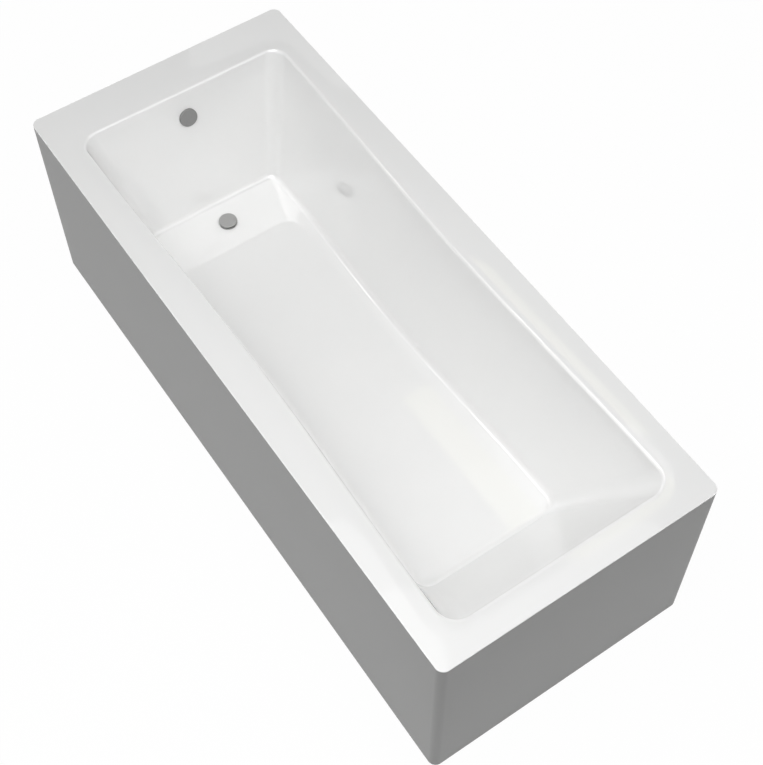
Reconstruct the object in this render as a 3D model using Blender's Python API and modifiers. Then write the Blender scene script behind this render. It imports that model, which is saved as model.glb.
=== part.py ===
"""A single-ended bathtub with a wrap-round skirt, in metres, +Z up.

The bath stands on z = 0, centred on the origin, with its length along X: the waste and the upright end
wall are at -X and the sloping backrest is at +X.
"""

import math

import bmesh
import bpy
from mathutils import Matrix, Vector

# Overall size of the bath, skirt included
LENGTH = 1.700
WIDTH = 0.700
HEIGHT = 0.545
OUTER_CORNER_RADIUS = 0.020

# Clearance between pieces that touch
SEAT_GAP = 0.0003
# How far a cutter runs past what it cuts
CUT_OVERRUN = 0.002
# Points closer than this are one point
WELD_DISTANCE = 0.00001
# How far along a small rounding its middle point lies
EASED_SHARE = 0.3

# Tub moulding: rim widths are measured to where the straight wall would meet the top of the rim
SHELL_THICKNESS = 0.005
FAR_RIM_WIDTH = 0.1175
NEAR_RIM_WIDTH = 0.0655
SIDE_RIM_WIDTH = 0.0703
WAIST_DEPTH = 0.0144
BASIN_DEPTH = 0.337
FLOOR_FALL = 0.0126
# How far the foot of each wall lies inside its top
FAR_WALL_INSET = 0.0945
SIDE_WALL_INSET = 0.092
BACKREST_INSET = 0.2125
# Corners of the opening, and of the floor, seen from above
FAR_TOP_RADIUS = 0.040
NEAR_TOP_RADIUS = 0.048
FAR_FOOT_CORNER_RADIUS = 0.028
NEAR_FOOT_CORNER_RADIUS = 0.036
# Rounding from deck to wall and from wall to floor
RIM_ROLL_RADIUS = 0.008
WALL_FOOT_RADIUS = 0.022
BACKREST_FOOT_RADIUS = 0.032

# Outer skirt, a wall with an inward flange along its top and its bottom
SKIRT_WALL = 0.004
SKIRT_TOP_FLANGE = 0.014
SKIRT_BOTTOM_FLANGE = 0.012
SKIRT_FLOOR_GAP = 0.004

# Base board under the floor
BOARD_THICKNESS = 0.018
BOARD_WASTE_SETBACK = 0.073
BOARD_NEAR_SETBACK = 0.045
BOARD_SIDE_SETBACK = 0.024
BOARD_CORNER_RADIUS = 0.020

# Folded steel cross legs
LEG_WIDTH = 0.040
LEG_HEIGHT = 0.030
LEG_SHEET = 0.0025
LEG_END_SETBACK = 0.070
LEG_SKIRT_CLEARANCE = 0.006
LEG_BEND_RADIUS = 0.004

# Levelling feet
FOOT_SIDE_SETBACK = 0.095
PAD_RADIUS = 0.025
PAD_RIM_HEIGHT = 0.004
PAD_CHAMFER = 0.0015
PAD_SHOULDER_RADIUS = 0.0135
PAD_SHOULDER_HEIGHT = 0.009
PAD_NECK_RADIUS = 0.0115
PAD_HEIGHT = 0.016
STUD_RADIUS = 0.005
STUD_CHAMFER = 0.001
STUD_CLEARANCE = 0.0004
STUD_RISE = 0.012
WELD_NUT_ACROSS = 0.0175
WELD_NUT_HEIGHT = 0.008
LOCK_NUT_ACROSS = 0.017
LOCK_NUT_HEIGHT = 0.006

# Rim supports: a square tube on a foot plate with a turned-up tab
SUPPORT_TUBE = 0.025
SUPPORT_TUBE_WALL = 0.0016
SUPPORT_SKIRT_CLEARANCE = 0.022
SUPPORT_PLATE_WIDTH = 0.036
SUPPORT_PLATE_SHEET = 0.003
SUPPORT_PLATE_INNER_REACH = 0.020
SUPPORT_TAB_HEIGHT = 0.028

# Pan-head screws
SCREW_RADIUS = 0.0024
SCREW_CLEARANCE = 0.0004
SCREW_HEAD_RADIUS = 0.0046
SCREW_HEAD_HEIGHT = 0.0026
HEAD_CROWN_SHARE = 0.6
SCREW_TIP = 0.003
BOARD_SCREW_BITE = 0.012
BOARD_SCREW_SIDE_SETBACK = 0.045
SUPPORT_SCREW_BITE = 0.0045

# Waste, measured along its own axis from the top of the floor
WASTE_SETBACK = 0.0745
WASTE_HOLE_RADIUS = 0.0205
WASTE_SEAT_RADIUS = 0.0233
WASTE_SEAT_DEPTH = 0.0020
FLANGE_RADIUS = 0.0228
FLANGE_PROUD = 0.0010
FLANGE_THICKNESS = 0.0016
FLANGE_TAIL_RADIUS = 0.0195
FLANGE_BORE_RADIUS = 0.0170
FLANGE_TAIL_LENGTH = 0.024
FLANGE_SEAL_INNER_RADIUS = 0.0211
SPIDER_DEPTH = 0.0070
SPIDER_HEIGHT = 0.011
SPIDER_BOSS_RADIUS = 0.0078
SPOKE_THICKNESS = 0.0028
SPOKE_COUNT = 3
CARTRIDGE_RADIUS = 0.0052
CARTRIDGE_HEAD_RADIUS = 0.0068
CARTRIDGE_HEAD_HEIGHT = 0.003
CARTRIDGE_LENGTH = 0.026
CARTRIDGE_WALL = 0.0016
THREAD_CLEARANCE = 0.0004
SPINDLE_LENGTH = 0.020
CAP_RADIUS = 0.0233
CAP_THICKNESS = 0.0034
CAP_EDGE_RADIUS = 0.0010
CAP_LIFT = 0.0050
CAP_SHUT_GAP = 0.0006
CAP_BOSS_HEIGHT = 0.0020
CAP_BOSS_WALL = 0.0026
CAP_SEAL_THICKNESS = 0.0012
CAP_SEAL_CLEARANCE = 0.0007
BODY_SEAL_THICKNESS = 0.003
BODY_SEAL_RADIUS = 0.032
BODY_FLANGE_RADIUS = 0.034
BODY_FLANGE_THICKNESS = 0.004
BODY_WALL = 0.0040
BODY_LENGTH = 0.058
INLET_DEPTH = 0.034
INLET_RADIUS = 0.0125
INLET_BORE_RADIUS = 0.0100
INLET_REACH = 0.062

# Trap, an S-shaped pipe with its outlet towards +Y
TRAP_RADIUS = 0.0210
TRAP_WALL = 0.0028
TRAP_COLLAR_HEIGHT = 0.0045
TRAP_DIP = 0.052
TRAP_BEND_RADIUS = 0.030
TRAP_WIDTH = 0.064
TRAP_OUTLET_REACH = 0.190
TRAP_OUTLET_RISE = 0.020
TRAP_NUT_WALL = 0.0050
TRAP_NUT_HEIGHT = 0.022
TRAP_RIB_WIDTH = 0.002
TRAP_NUT_RIBS = 12
TRAP_SEAL_THICKNESS = 0.0025
OUTLET_SEAL_LENGTH = 0.005
OUTLET_NUT_LENGTH = 0.020

# Overflow, measured along its own axis from the face of the end wall
OVERFLOW_DROP = 0.0725
OVERFLOW_HOLE_RADIUS = 0.0200
COVER_RADIUS = 0.0236
COVER_DEPTH = 0.0062
COVER_FACE_THICKNESS = 0.0010
COVER_WALL = 0.0018
COVER_EDGE_RADIUS = 0.0008
COVER_SLOT_HEIGHT = 0.0030
COVER_SLOT_WIDTH = 0.0055
COVER_SLOT_COUNT = 3
COVER_SLOT_SPREAD = 0.0085
PLATE_RADIUS = 0.0211
PLATE_THICKNESS = 0.0012
PLATE_WINDOW_RADIUS = 0.0140
PLATE_BAR_WIDTH = 0.0090
CLAMP_SCREW_RADIUS = 0.0024
CLAMP_SCREW_LENGTH = 0.015
OVERFLOW_SEAL_THICKNESS = 0.003
OVERFLOW_SEAL_RADIUS = 0.030
ELBOW_FLANGE_RADIUS = 0.031
ELBOW_FLANGE_THICKNESS = 0.003
ELBOW_SPIGOT_RADIUS = 0.0190
ELBOW_SPIGOT_WALL = 0.0024
ELBOW_CUP_DEPTH = 0.0072
ELBOW_BOSS_RADIUS = 0.0060
ELBOW_BOSS_LENGTH = 0.014
ELBOW_RADIUS = 0.0125
ELBOW_BORE_RADIUS = 0.0100
ELBOW_BACK_REACH = 0.040
ELBOW_BEND_RADIUS = 0.022
ELBOW_DROP = 0.048

# Corrugated overflow hose and its clips
HOSE_BORE_CLEARANCE = 0.0006
HOSE_ROOT_WALL = 0.0012
HOSE_RIB_HEIGHT = 0.0016
HOSE_RIB_COUNT = 27
HOSE_GRIP = 0.018
HOSE_CUFF_LENGTH = 0.030
HOSE_SLACK = 0.075
CLIP_WIDTH = 0.009
CLIP_THICKNESS = 0.0012
CLIP_HOUSING_LENGTH = 0.012
CLIP_HOUSING_HEIGHT = 0.007

# Number of faces on curves
CORNER_SPANS = 7
SIDE_SPANS = 10
ROLL_SPANS = 3
FOOT_SPANS = 4
WALL_SPANS = 2
ROUND_STEPS = 24
DISC_STEPS = 36
SMALL_ROUND_STEPS = 12
SCREW_STEPS = 8
PIPE_SIDES = 12
TRAP_CORNER_STEPS = 4
ELBOW_CORNER_STEPS = 5
LEG_CORNER_STEPS = 2
HOSE_SIDES = 12
HOSE_ROUTE_STEPS = 100
HOSE_BORE_SPANS = 12


def clear_scene():
    for old in list(bpy.data.objects):
        bpy.data.objects.remove(old, do_unlink=True)


def new_collection(name):
    made = bpy.data.collections.new(name)
    bpy.context.scene.collection.children.link(made)
    return made


clear_scene()
PARTS = new_collection("single_ended_bathtub")
CUTTERS = new_collection("cutters")
CUTTERS.hide_render = True


def new_material(name, colour, roughness, metallic):
    made = bpy.data.materials.new(name)
    made.use_nodes = True
    shader = made.node_tree.nodes["Principled BSDF"]
    shader.inputs["Base Color"].default_value = (*colour, 1.0)
    shader.inputs["Roughness"].default_value = roughness
    shader.inputs["Metallic"].default_value = metallic
    made.diffuse_color = (*colour, 1.0)
    return made


WHITE_ACRYLIC = new_material("white_acrylic", (0.88, 0.88, 0.875), 0.15, 0.0)
GREY_ACRYLIC = new_material("grey_acrylic", (0.40, 0.40, 0.395), 0.35, 0.0)
SATIN_METAL = new_material("satin_metal", (0.45, 0.45, 0.45), 0.35, 1.0)
BRASS = new_material("plain_brass", (0.70, 0.55, 0.28), 0.35, 1.0)
ZINC_STEEL = new_material("zinc_steel", (0.62, 0.63, 0.65), 0.40, 1.0)
CHIPBOARD = new_material("sealed_chipboard", (0.55, 0.44, 0.30), 0.80, 0.0)
WHITE_PLASTIC = new_material("white_plastic", (0.80, 0.80, 0.78), 0.45, 0.0)
BLACK_PLASTIC = new_material("black_plastic", (0.04, 0.04, 0.04), 0.50, 0.0)
BLACK_RUBBER = new_material("black_rubber", (0.03, 0.03, 0.03), 0.85, 0.0)


def place(made, material, parent=None, location=(0, 0, 0), rotation=(0, 0, 0)):
    """Gives an object its material, its collection and its place under its parent."""
    made.data.materials.clear()
    made.data.materials.append(material)
    PARTS.objects.link(made)
    made.parent = parent
    made.location = location
    made.rotation_euler = rotation
    return made


def as_cutter(made, parent=None, location=(0, 0, 0), rotation=(0, 0, 0)):
    """Files an object as a helper that cuts or joins and isn't itself a piece."""
    CUTTERS.objects.link(made)
    made.parent = parent
    made.location = location
    made.rotation_euler = rotation
    made.hide_render = True
    made.display_type = "WIRE"
    return made


def boolean(target, helper, operation):
    change = target.modifiers.new(helper.name, "BOOLEAN")
    change.operation = operation
    change.solver = "EXACT"
    change.object = helper


def cut(target, helper):
    boolean(target, helper, "DIFFERENCE")


def join(target, helper):
    boolean(target, helper, "UNION")


def mesh_object(name, points, faces):
    mesh = bpy.data.meshes.new(name)
    mesh.from_pydata([tuple(point) for point in points], [], faces)
    mesh.update()
    return bpy.data.objects.new(name, mesh)


def turned(name, profile, steps=ROUND_STEPS):
    """A turned shape: the profile's (radius, height) points run down the outer side."""
    mesh = bpy.data.meshes.new(name)
    points = [(radius, 0, height) for radius, height in profile]
    edges = [(index, index + 1) for index in range(len(points) - 1)]
    mesh.from_pydata(points, edges, [])
    made = bpy.data.objects.new(name, mesh)
    spin = made.modifiers.new("turn", "SCREW")
    spin.steps = steps
    spin.render_steps = steps
    spin.use_merge_vertices = True
    spin.merge_threshold = WELD_DISTANCE
    spin.use_smooth_shade = False
    return made


def turned_ring(name, outer_radius, inner_radius, top, bottom, steps=ROUND_STEPS):
    profile = [
        (outer_radius, top),
        (outer_radius, bottom),
        (inner_radius, bottom),
        (inner_radius, top),
        (outer_radius, top),
    ]
    return turned(name, profile, steps)


def turned_rod(name, radius, top, bottom, steps=ROUND_STEPS):
    return turned(name, [(0, top), (radius, top), (radius, bottom), (0, bottom)], steps)


def box(name, low, high):
    """A box between two corners."""
    mesh = bpy.data.meshes.new(name)
    shape = bmesh.new()
    bmesh.ops.create_cube(shape, size=1)
    size = Vector(high) - Vector(low)
    middle = (Vector(high) + Vector(low)) / 2
    shape.transform(Matrix.Translation(middle) @ Matrix.Diagonal((*size, 1)))
    shape.to_mesh(mesh)
    shape.free()
    return bpy.data.objects.new(name, mesh)


def prism(name, across_flats, sides, top, bottom):
    """An upright prism with a given distance across its flats."""
    mesh = bpy.data.meshes.new(name)
    shape = bmesh.new()
    radius = across_flats / 2 / math.cos(math.pi / sides)
    bmesh.ops.create_cone(
        shape, cap_ends=True, segments=sides, radius1=radius, radius2=radius, depth=top - bottom
    )
    shape.transform(Matrix.Translation((0, 0, (top + bottom) / 2)))
    shape.to_mesh(mesh)
    shape.free()
    return bpy.data.objects.new(name, mesh)


def as_mesh(curve_object, name):
    """The curve's solid as a mesh object with welded caps."""
    bpy.context.scene.collection.objects.link(curve_object)
    bpy.context.view_layer.update()
    graph = bpy.context.evaluated_depsgraph_get()
    mesh = bpy.data.meshes.new_from_object(curve_object.evaluated_get(graph))
    mesh.materials.clear()
    shape = bmesh.new()
    shape.from_mesh(mesh)
    bmesh.ops.remove_doubles(shape, verts=shape.verts, dist=WELD_DISTANCE)
    bmesh.ops.recalc_face_normals(shape, faces=shape.faces)
    shape.to_mesh(mesh)
    shape.free()
    mesh.name = name
    made = bpy.data.objects.new(name, mesh)
    made.matrix_world = curve_object.matrix_world
    bpy.data.objects.remove(curve_object, do_unlink=True)
    return made


def pipe(name, points, radius, sides, scales=None):
    """A round bar along points. The scales, if given, are radius shares at each point."""
    curve = bpy.data.curves.new(name + "_route", "CURVE")
    curve.dimensions = "3D"
    curve.bevel_depth = radius
    curve.bevel_resolution = (sides - 4) // 2
    curve.use_fill_caps = True
    spline = curve.splines.new("POLY")
    spline.points.add(len(points) - 1)
    for index, point in enumerate(points):
        spline.points[index].co = (*point, 1)
        spline.points[index].radius = scales[index] if scales else 1
    return as_mesh(bpy.data.objects.new(name + "_route", curve), name)


def rounded_route(corners, radius, spans):
    """The points of a route whose inner corners are rounded to one bend radius."""
    corners = [Vector(corner) for corner in corners]
    route = [corners[0]]
    for before, corner, after in zip(corners, corners[1:], corners[2:]):
        back = (before - corner).normalized()
        ahead = (after - corner).normalized()
        half_angle = back.angle(ahead) / 2
        tangent = radius / math.tan(half_angle)
        centre = corner + (back + ahead).normalized() * radius / math.sin(half_angle)
        first = corner + back * tangent - centre
        axis = first.cross(corner + ahead * tangent - centre)
        turn = math.pi - 2 * half_angle
        for step in range(spans + 1):
            route.append(centre + Matrix.Rotation(turn * step / spans, 3, axis) @ first)
    route.append(corners[-1])
    return route


def outline(far, near, half_width, far_radius, near_radius, waist=0, side_spans=1):
    """Points and outward normals round a rounded rectangle, anticlockwise from the near end.

    The two long sides draw in by the waist at mid-length.
    """
    points = []

    def corner(centre_x, centre_y, radius, start):
        for step in range(CORNER_SPANS + 1):
            angle = start + math.pi / 2 * step / CORNER_SPANS
            normal = Vector((math.cos(angle), math.sin(angle)))
            points.append((Vector((centre_x, centre_y)) + normal * radius, normal))

    def side(direction):
        low = far + far_radius
        high = near - near_radius
        for step in range(1, side_spans):
            share = 1 - 2 * step / side_spans
            x = (low + high) / 2 + direction * share * (high - low) / 2
            drawn_in = waist * (1 + math.cos(math.pi * share)) / 2
            points.append((Vector((x, direction * (half_width - drawn_in))), Vector((0, direction))))

    near_x = near - near_radius
    near_y = half_width - near_radius
    far_x = far + far_radius
    far_y = half_width - far_radius
    corner(near_x, near_y, near_radius, 0)
    side(1)
    corner(far_x, far_y, far_radius, math.pi / 2)
    corner(far_x, -far_y, far_radius, math.pi)
    side(-1)
    corner(near_x, -near_y, near_radius, math.pi * 3 / 2)
    return points


def round_over(start, corner_point, end, radius, spans):
    """Points of an arc that rounds a corner between two directions."""
    half_angle = start.angle(end) / 2
    tangent = radius / math.tan(half_angle)
    weight = math.sin(half_angle)
    first = corner_point + start * tangent
    last = corner_point + end * tangent
    arc = []
    for step in range(spans + 1):
        share = step / spans
        parts = ((1 - share) ** 2, 2 * share * (1 - share) * weight, share**2)
        blend = first * parts[0] + corner_point * parts[1] + last * parts[2]
        arc.append(blend / sum(parts))
    return arc


def rings_surface(name, strips, fill_last):
    """A surface whose strips run from its first ring to its last, one strip for each outline point."""
    points = [point for strip in strips for point in strip]
    count = len(strips)
    length = len(strips[0])
    faces = []
    for index in range(count):
        here = index * length
        there = (index + 1) % count * length
        for step in range(length - 1):
            faces.append((here + step, there + step, there + step + 1, here + step + 1))
    if fill_last:
        faces.append([index * length + length - 1 for index in range(count)])
    return mesh_object(name, points, faces)


def thicken(made, thickness):
    wall = made.modifiers.new("wall", "SOLIDIFY")
    wall.thickness = thickness
    wall.offset = -1
    wall.use_even_offset = True


# Places that several pieces share
OPENING_FAR = FAR_RIM_WIDTH - LENGTH / 2
OPENING_NEAR = LENGTH / 2 - NEAR_RIM_WIDTH
OPENING_HALF_WIDTH = WIDTH / 2 - SIDE_RIM_WIDTH
FLOOR_FAR = OPENING_FAR + FAR_WALL_INSET
FLOOR_NEAR = OPENING_NEAR - BACKREST_INSET
FLOOR_HALF_WIDTH = OPENING_HALF_WIDTH - SIDE_WALL_INSET
FLOOR_SLOPE = FLOOR_FALL / (FLOOR_NEAR - FLOOR_FAR)
WASTE_X = FLOOR_FAR + WASTE_SETBACK


def floor_height(x):
    return HEIGHT - BASIN_DEPTH + FLOOR_SLOPE * (x - FLOOR_FAR)


def new_empty(name, location, tilt):
    """A guide whose axes are those of the object, turned about Y by the tilt."""
    made = bpy.data.objects.new(name, None)
    PARTS.objects.link(made)
    made.location = location
    made.rotation_euler = (0, tilt, 0)
    return made


# The waste's guide stands square on the sloping floor, and the overflow's on the leaning end wall
FLOOR_TILT = -math.atan(FLOOR_SLOPE)
WASTE_AXIS = new_empty("waste_axis", (WASTE_X, 0, floor_height(WASTE_X)), FLOOR_TILT)
END_WALL_ANGLE = math.atan2(FAR_WALL_INSET, BASIN_DEPTH)
OVERFLOW_X = OPENING_FAR + FAR_WALL_INSET * OVERFLOW_DROP / BASIN_DEPTH
OVERFLOW_TILT = math.pi / 2 - END_WALL_ANGLE
OVERFLOW_AXIS = new_empty("overflow_axis", (OVERFLOW_X, 0, HEIGHT - OVERFLOW_DROP), OVERFLOW_TILT)


def make_tub():
    """The moulding: deck, rolled edge, leaning walls, rounded foot and floor, thickened on its back."""
    edge = outline(
        -LENGTH / 2, LENGTH / 2, WIDTH / 2, OUTER_CORNER_RADIUS, OUTER_CORNER_RADIUS, 0, SIDE_SPANS
    )
    top = outline(
        OPENING_FAR, OPENING_NEAR, OPENING_HALF_WIDTH, FAR_TOP_RADIUS, NEAR_TOP_RADIUS, WAIST_DEPTH,
        SIDE_SPANS,
    )
    foot = outline(
        FLOOR_FAR, FLOOR_NEAR, FLOOR_HALF_WIDTH, FAR_FOOT_CORNER_RADIUS, NEAR_FOOT_CORNER_RADIUS,
        WAIST_DEPTH, SIDE_SPANS,
    )
    strips = []
    for (rim, _), (high, normal), (low, _) in zip(edge, top, foot):
        wall_top = Vector((*high, HEIGHT))
        wall_foot = Vector((*low, floor_height(low.x)))
        outward = Vector((*normal, 0))
        inward = Vector((-normal.x, -normal.y, -normal.x * FLOOR_SLOPE)).normalized()
        down = (wall_foot - wall_top).normalized()
        backrest_share = max(0, normal.x) ** 2
        foot_radius = WALL_FOOT_RADIUS + (BACKREST_FOOT_RADIUS - WALL_FOOT_RADIUS) * backrest_share
        roll = round_over(outward, wall_top, down, RIM_ROLL_RADIUS, ROLL_SPANS)
        bottom = round_over(-down, wall_foot, inward, foot_radius, FOOT_SPANS)
        wall = [roll[-1].lerp(bottom[0], step / WALL_SPANS) for step in range(1, WALL_SPANS)]
        strips.append([Vector((*rim, HEIGHT)), *roll, *wall, *bottom])
    tub = rings_surface("tub_shell", strips, True)
    thicken(tub, SHELL_THICKNESS)
    hole = as_cutter(
        turned_rod("waste_hole", WASTE_HOLE_RADIUS, CUT_OVERRUN, -SHELL_THICKNESS - CUT_OVERRUN),
        WASTE_AXIS,
    )
    seat = as_cutter(
        turned_rod("waste_seat", WASTE_SEAT_RADIUS, CUT_OVERRUN, -WASTE_SEAT_DEPTH), WASTE_AXIS
    )
    window = as_cutter(
        turned_rod(
            "overflow_hole", OVERFLOW_HOLE_RADIUS, CUT_OVERRUN, -SHELL_THICKNESS - CUT_OVERRUN,
        ),
        OVERFLOW_AXIS,
    )
    for helper in (hole, seat, window):
        cut(tub, helper)
    return place(tub, WHITE_ACRYLIC)


def make_skirt():
    """One wall round the bath with rounded corners and a flange turned in at its top and bottom."""
    top = HEIGHT - SHELL_THICKNESS - SEAT_GAP
    levels = (
        (SKIRT_TOP_FLANGE, top),
        (0, top),
        (0, SKIRT_FLOOR_GAP),
        (SKIRT_BOTTOM_FLANGE, SKIRT_FLOOR_GAP),
    )
    loops = []
    for inset, height in levels:
        radius = OUTER_CORNER_RADIUS - inset
        loop = outline(inset - LENGTH / 2, LENGTH / 2 - inset, WIDTH / 2 - inset, radius, radius)
        loops.append([Vector((*point, height)) for point, _ in loop])
    strips = [list(reversed(strip)) for strip in zip(*loops)]
    skirt = rings_surface("outer_skirt", strips, False)
    thicken(skirt, SKIRT_WALL)
    return place(skirt, GREY_ACRYLIC)


# The base board lies parallel to the floor, between the waste and the foot of the backrest
BOARD_FAR = WASTE_X + BOARD_WASTE_SETBACK
BOARD_NEAR = FLOOR_NEAR - BOARD_NEAR_SETBACK
BOARD_HALF_WIDTH = FLOOR_HALF_WIDTH - WAIST_DEPTH - BOARD_SIDE_SETBACK
BOARD_TOP_DROP = SHELL_THICKNESS + SEAT_GAP
LEG_FAR_X = BOARD_FAR + LEG_END_SETBACK
LEG_NEAR_X = BOARD_NEAR - LEG_END_SETBACK
LEG_PLACES = (
    ("waste_end", LEG_FAR_X),
    ("middle", (LEG_FAR_X + LEG_NEAR_X) / 2),
    ("head_end", LEG_NEAR_X),
)
BOARD_SCREW_Y = BOARD_HALF_WIDTH - BOARD_SCREW_SIDE_SETBACK


def leg_top(x):
    """The height of a leg's web: just below the lowest point of the board above it."""
    return floor_height(x - LEG_WIDTH / 2) - BOARD_TOP_DROP - BOARD_THICKNESS - SEAT_GAP


def make_board():
    loop = outline(
        BOARD_FAR - WASTE_X, BOARD_NEAR - WASTE_X, BOARD_HALF_WIDTH, BOARD_CORNER_RADIUS,
        BOARD_CORNER_RADIUS,
    )
    curve = bpy.data.curves.new("board_outline", "CURVE")
    curve.dimensions = "2D"
    curve.fill_mode = "BOTH"
    curve.extrude = BOARD_THICKNESS / 2
    spline = curve.splines.new("POLY")
    spline.points.add(len(loop) - 1)
    for target, (point, _) in zip(spline.points, loop):
        target.co = (*point, 0, 1)
    spline.use_cyclic_u = True
    board = as_mesh(bpy.data.objects.new("board_outline", curve), "base_board")
    for label, x in LEG_PLACES:
        for side, y in (("left", -BOARD_SCREW_Y), ("right", BOARD_SCREW_Y)):
            top = leg_top(x) + BOARD_SCREW_BITE + SCREW_CLEARANCE
            pilot = turned_rod(
                f"pilot_{label}_{side}", SCREW_RADIUS + SCREW_CLEARANCE, top,
                leg_top(x) - CUT_OVERRUN, SCREW_STEPS,
            )
            cut(board, as_cutter(pilot, None, (x, y, 0)))
    return place(board, CHIPBOARD, WASTE_AXIS, (0, 0, -BOARD_TOP_DROP - BOARD_THICKNESS / 2))


LEG_HALF_LENGTH = WIDTH / 2 - SKIRT_WALL - LEG_SKIRT_CLEARANCE
FOOT_Y = WIDTH / 2 - FOOT_SIDE_SETBACK
SUPPORT_Y = WIDTH / 2 - SKIRT_WALL - SUPPORT_SKIRT_CLEARANCE - SUPPORT_TUBE / 2
SUPPORT_PLATE_INNER = SUPPORT_Y - SUPPORT_TUBE / 2 - SUPPORT_PLATE_INNER_REACH
SUPPORT_PLATE_OUTER = WIDTH / 2 - SKIRT_WALL - SEAT_GAP
SUPPORT_SCREW_Y = (SUPPORT_PLATE_INNER + SUPPORT_Y - SUPPORT_TUBE / 2) / 2
SIDES = (("left", -1), ("right", 1))


def make_leg(label, x):
    """A folded channel, open downwards, with a weld nut for each levelling foot."""
    half = LEG_WIDTH / 2
    corners = [(-half, 0, -LEG_HEIGHT), (-half, 0, 0), (half, 0, 0), (half, 0, -LEG_HEIGHT)]
    section = rounded_route(corners, LEG_BEND_RADIUS, LEG_CORNER_STEPS)
    points = []
    for y in (-LEG_HALF_LENGTH, LEG_HALF_LENGTH):
        points += [point + Vector((0, y, 0)) for point in section]
    count = len(section)
    faces = [(i, i + 1, count + i + 1, count + i) for i in range(count - 1)]
    leg = mesh_object(f"cross_leg_{label}", points, faces)
    thicken(leg, LEG_SHEET)
    top = leg_top(x)
    for side, sign in SIDES:
        nut = prism(
            f"weld_nut_{label}_{side}", WELD_NUT_ACROSS, 6, -LEG_SHEET / 2, -LEG_SHEET - WELD_NUT_HEIGHT
        )
        join(leg, as_cutter(nut, None, (x, sign * FOOT_Y, top)))
        bore = turned_rod(
            f"stud_bore_{label}_{side}", STUD_RADIUS + STUD_CLEARANCE, CUT_OVERRUN,
            -LEG_SHEET - WELD_NUT_HEIGHT - CUT_OVERRUN, SMALL_ROUND_STEPS,
        )
        cut(leg, as_cutter(bore, None, (x, sign * FOOT_Y, top)))
        for use, y in (("board", BOARD_SCREW_Y), ("support", SUPPORT_SCREW_Y)):
            hole = turned_rod(
                f"{use}_hole_{label}_{side}", SCREW_RADIUS + SCREW_CLEARANCE, CUT_OVERRUN,
                -LEG_SHEET - CUT_OVERRUN, SCREW_STEPS,
            )
            cut(leg, as_cutter(hole, None, (x, sign * y, top)))
    return place(leg, ZINC_STEEL, None, (x, 0, top))


def make_foot(label, side, x, y):
    """A round pad with a stud moulded in, which screws up through the leg's weld nut."""
    stud_top = leg_top(x) + STUD_RISE
    profile = [
        (0, stud_top),
        (STUD_RADIUS - STUD_CHAMFER, stud_top),
        (STUD_RADIUS, stud_top - STUD_CHAMFER),
        (STUD_RADIUS, PAD_HEIGHT),
        (PAD_NECK_RADIUS, PAD_HEIGHT),
        (PAD_SHOULDER_RADIUS, PAD_SHOULDER_HEIGHT),
        (PAD_RADIUS - PAD_CHAMFER, PAD_RIM_HEIGHT + PAD_CHAMFER),
        (PAD_RADIUS, PAD_RIM_HEIGHT),
        (PAD_RADIUS, 0),
        (0, 0),
    ]
    foot = turned(f"levelling_foot_{label}_{side}", profile, SMALL_ROUND_STEPS)
    return place(foot, BLACK_PLASTIC, None, (x, y, 0))


def make_lock_nut(label, side, x, y):
    top = -LEG_SHEET - WELD_NUT_HEIGHT - SEAT_GAP
    bottom = top - LOCK_NUT_HEIGHT
    nut = prism(f"lock_nut_{label}_{side}", LOCK_NUT_ACROSS, 6, top, bottom)
    bore = turned_rod(
        f"lock_nut_bore_{label}_{side}", STUD_RADIUS + STUD_CLEARANCE, top + CUT_OVERRUN,
        bottom - CUT_OVERRUN, SMALL_ROUND_STEPS,
    )
    cut(nut, as_cutter(bore, None, (x, y, leg_top(x))))
    return place(nut, ZINC_STEEL, None, (x, y, leg_top(x)))


def make_support(label, side, sign, x):
    """A square tube welded on a foot plate, whose outer edge turns up against the skirt."""
    base = leg_top(x) + SEAT_GAP
    plate_top = base + SUPPORT_PLATE_SHEET
    tube_top = HEIGHT - SHELL_THICKNESS - SEAT_GAP
    half = SUPPORT_TUBE / 2
    name = f"rim_support_{label}_{side}"

    def upright(part, y_low, y_high, x_half, z_low, z_high):
        low = (-x_half, min(sign * y_low, sign * y_high), z_low)
        high = (x_half, max(sign * y_low, sign * y_high), z_high)
        return box(f"{part}_{label}_{side}", low, high)

    plate = upright(
        "plate", SUPPORT_PLATE_INNER, SUPPORT_PLATE_OUTER, SUPPORT_PLATE_WIDTH / 2, base, plate_top
    )
    plate.name = name
    tab = upright(
        "tab", SUPPORT_PLATE_OUTER - SUPPORT_PLATE_SHEET, SUPPORT_PLATE_OUTER, SUPPORT_PLATE_WIDTH / 2,
        base, base + SUPPORT_TAB_HEIGHT,
    )
    tube = upright(
        "tube", SUPPORT_Y - half, SUPPORT_Y + half, half, base + SUPPORT_PLATE_SHEET / 2, tube_top
    )
    inner = half - SUPPORT_TUBE_WALL
    hollow = upright(
        "tube_hollow", SUPPORT_Y - inner, SUPPORT_Y + inner, inner, plate_top, tube_top + CUT_OVERRUN
    )
    hole = turned_rod(
        f"plate_hole_{label}_{side}", SCREW_RADIUS + SCREW_CLEARANCE, plate_top + CUT_OVERRUN,
        base - CUT_OVERRUN, SCREW_STEPS,
    )
    join(plate, as_cutter(tab, None, (x, 0, 0)))
    join(plate, as_cutter(tube, None, (x, 0, 0)))
    cut(plate, as_cutter(hollow, None, (x, 0, 0)))
    cut(plate, as_cutter(hole, None, (x, sign * SUPPORT_SCREW_Y, 0)))
    return place(plate, ZINC_STEEL, None, (x, 0, 0))


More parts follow.
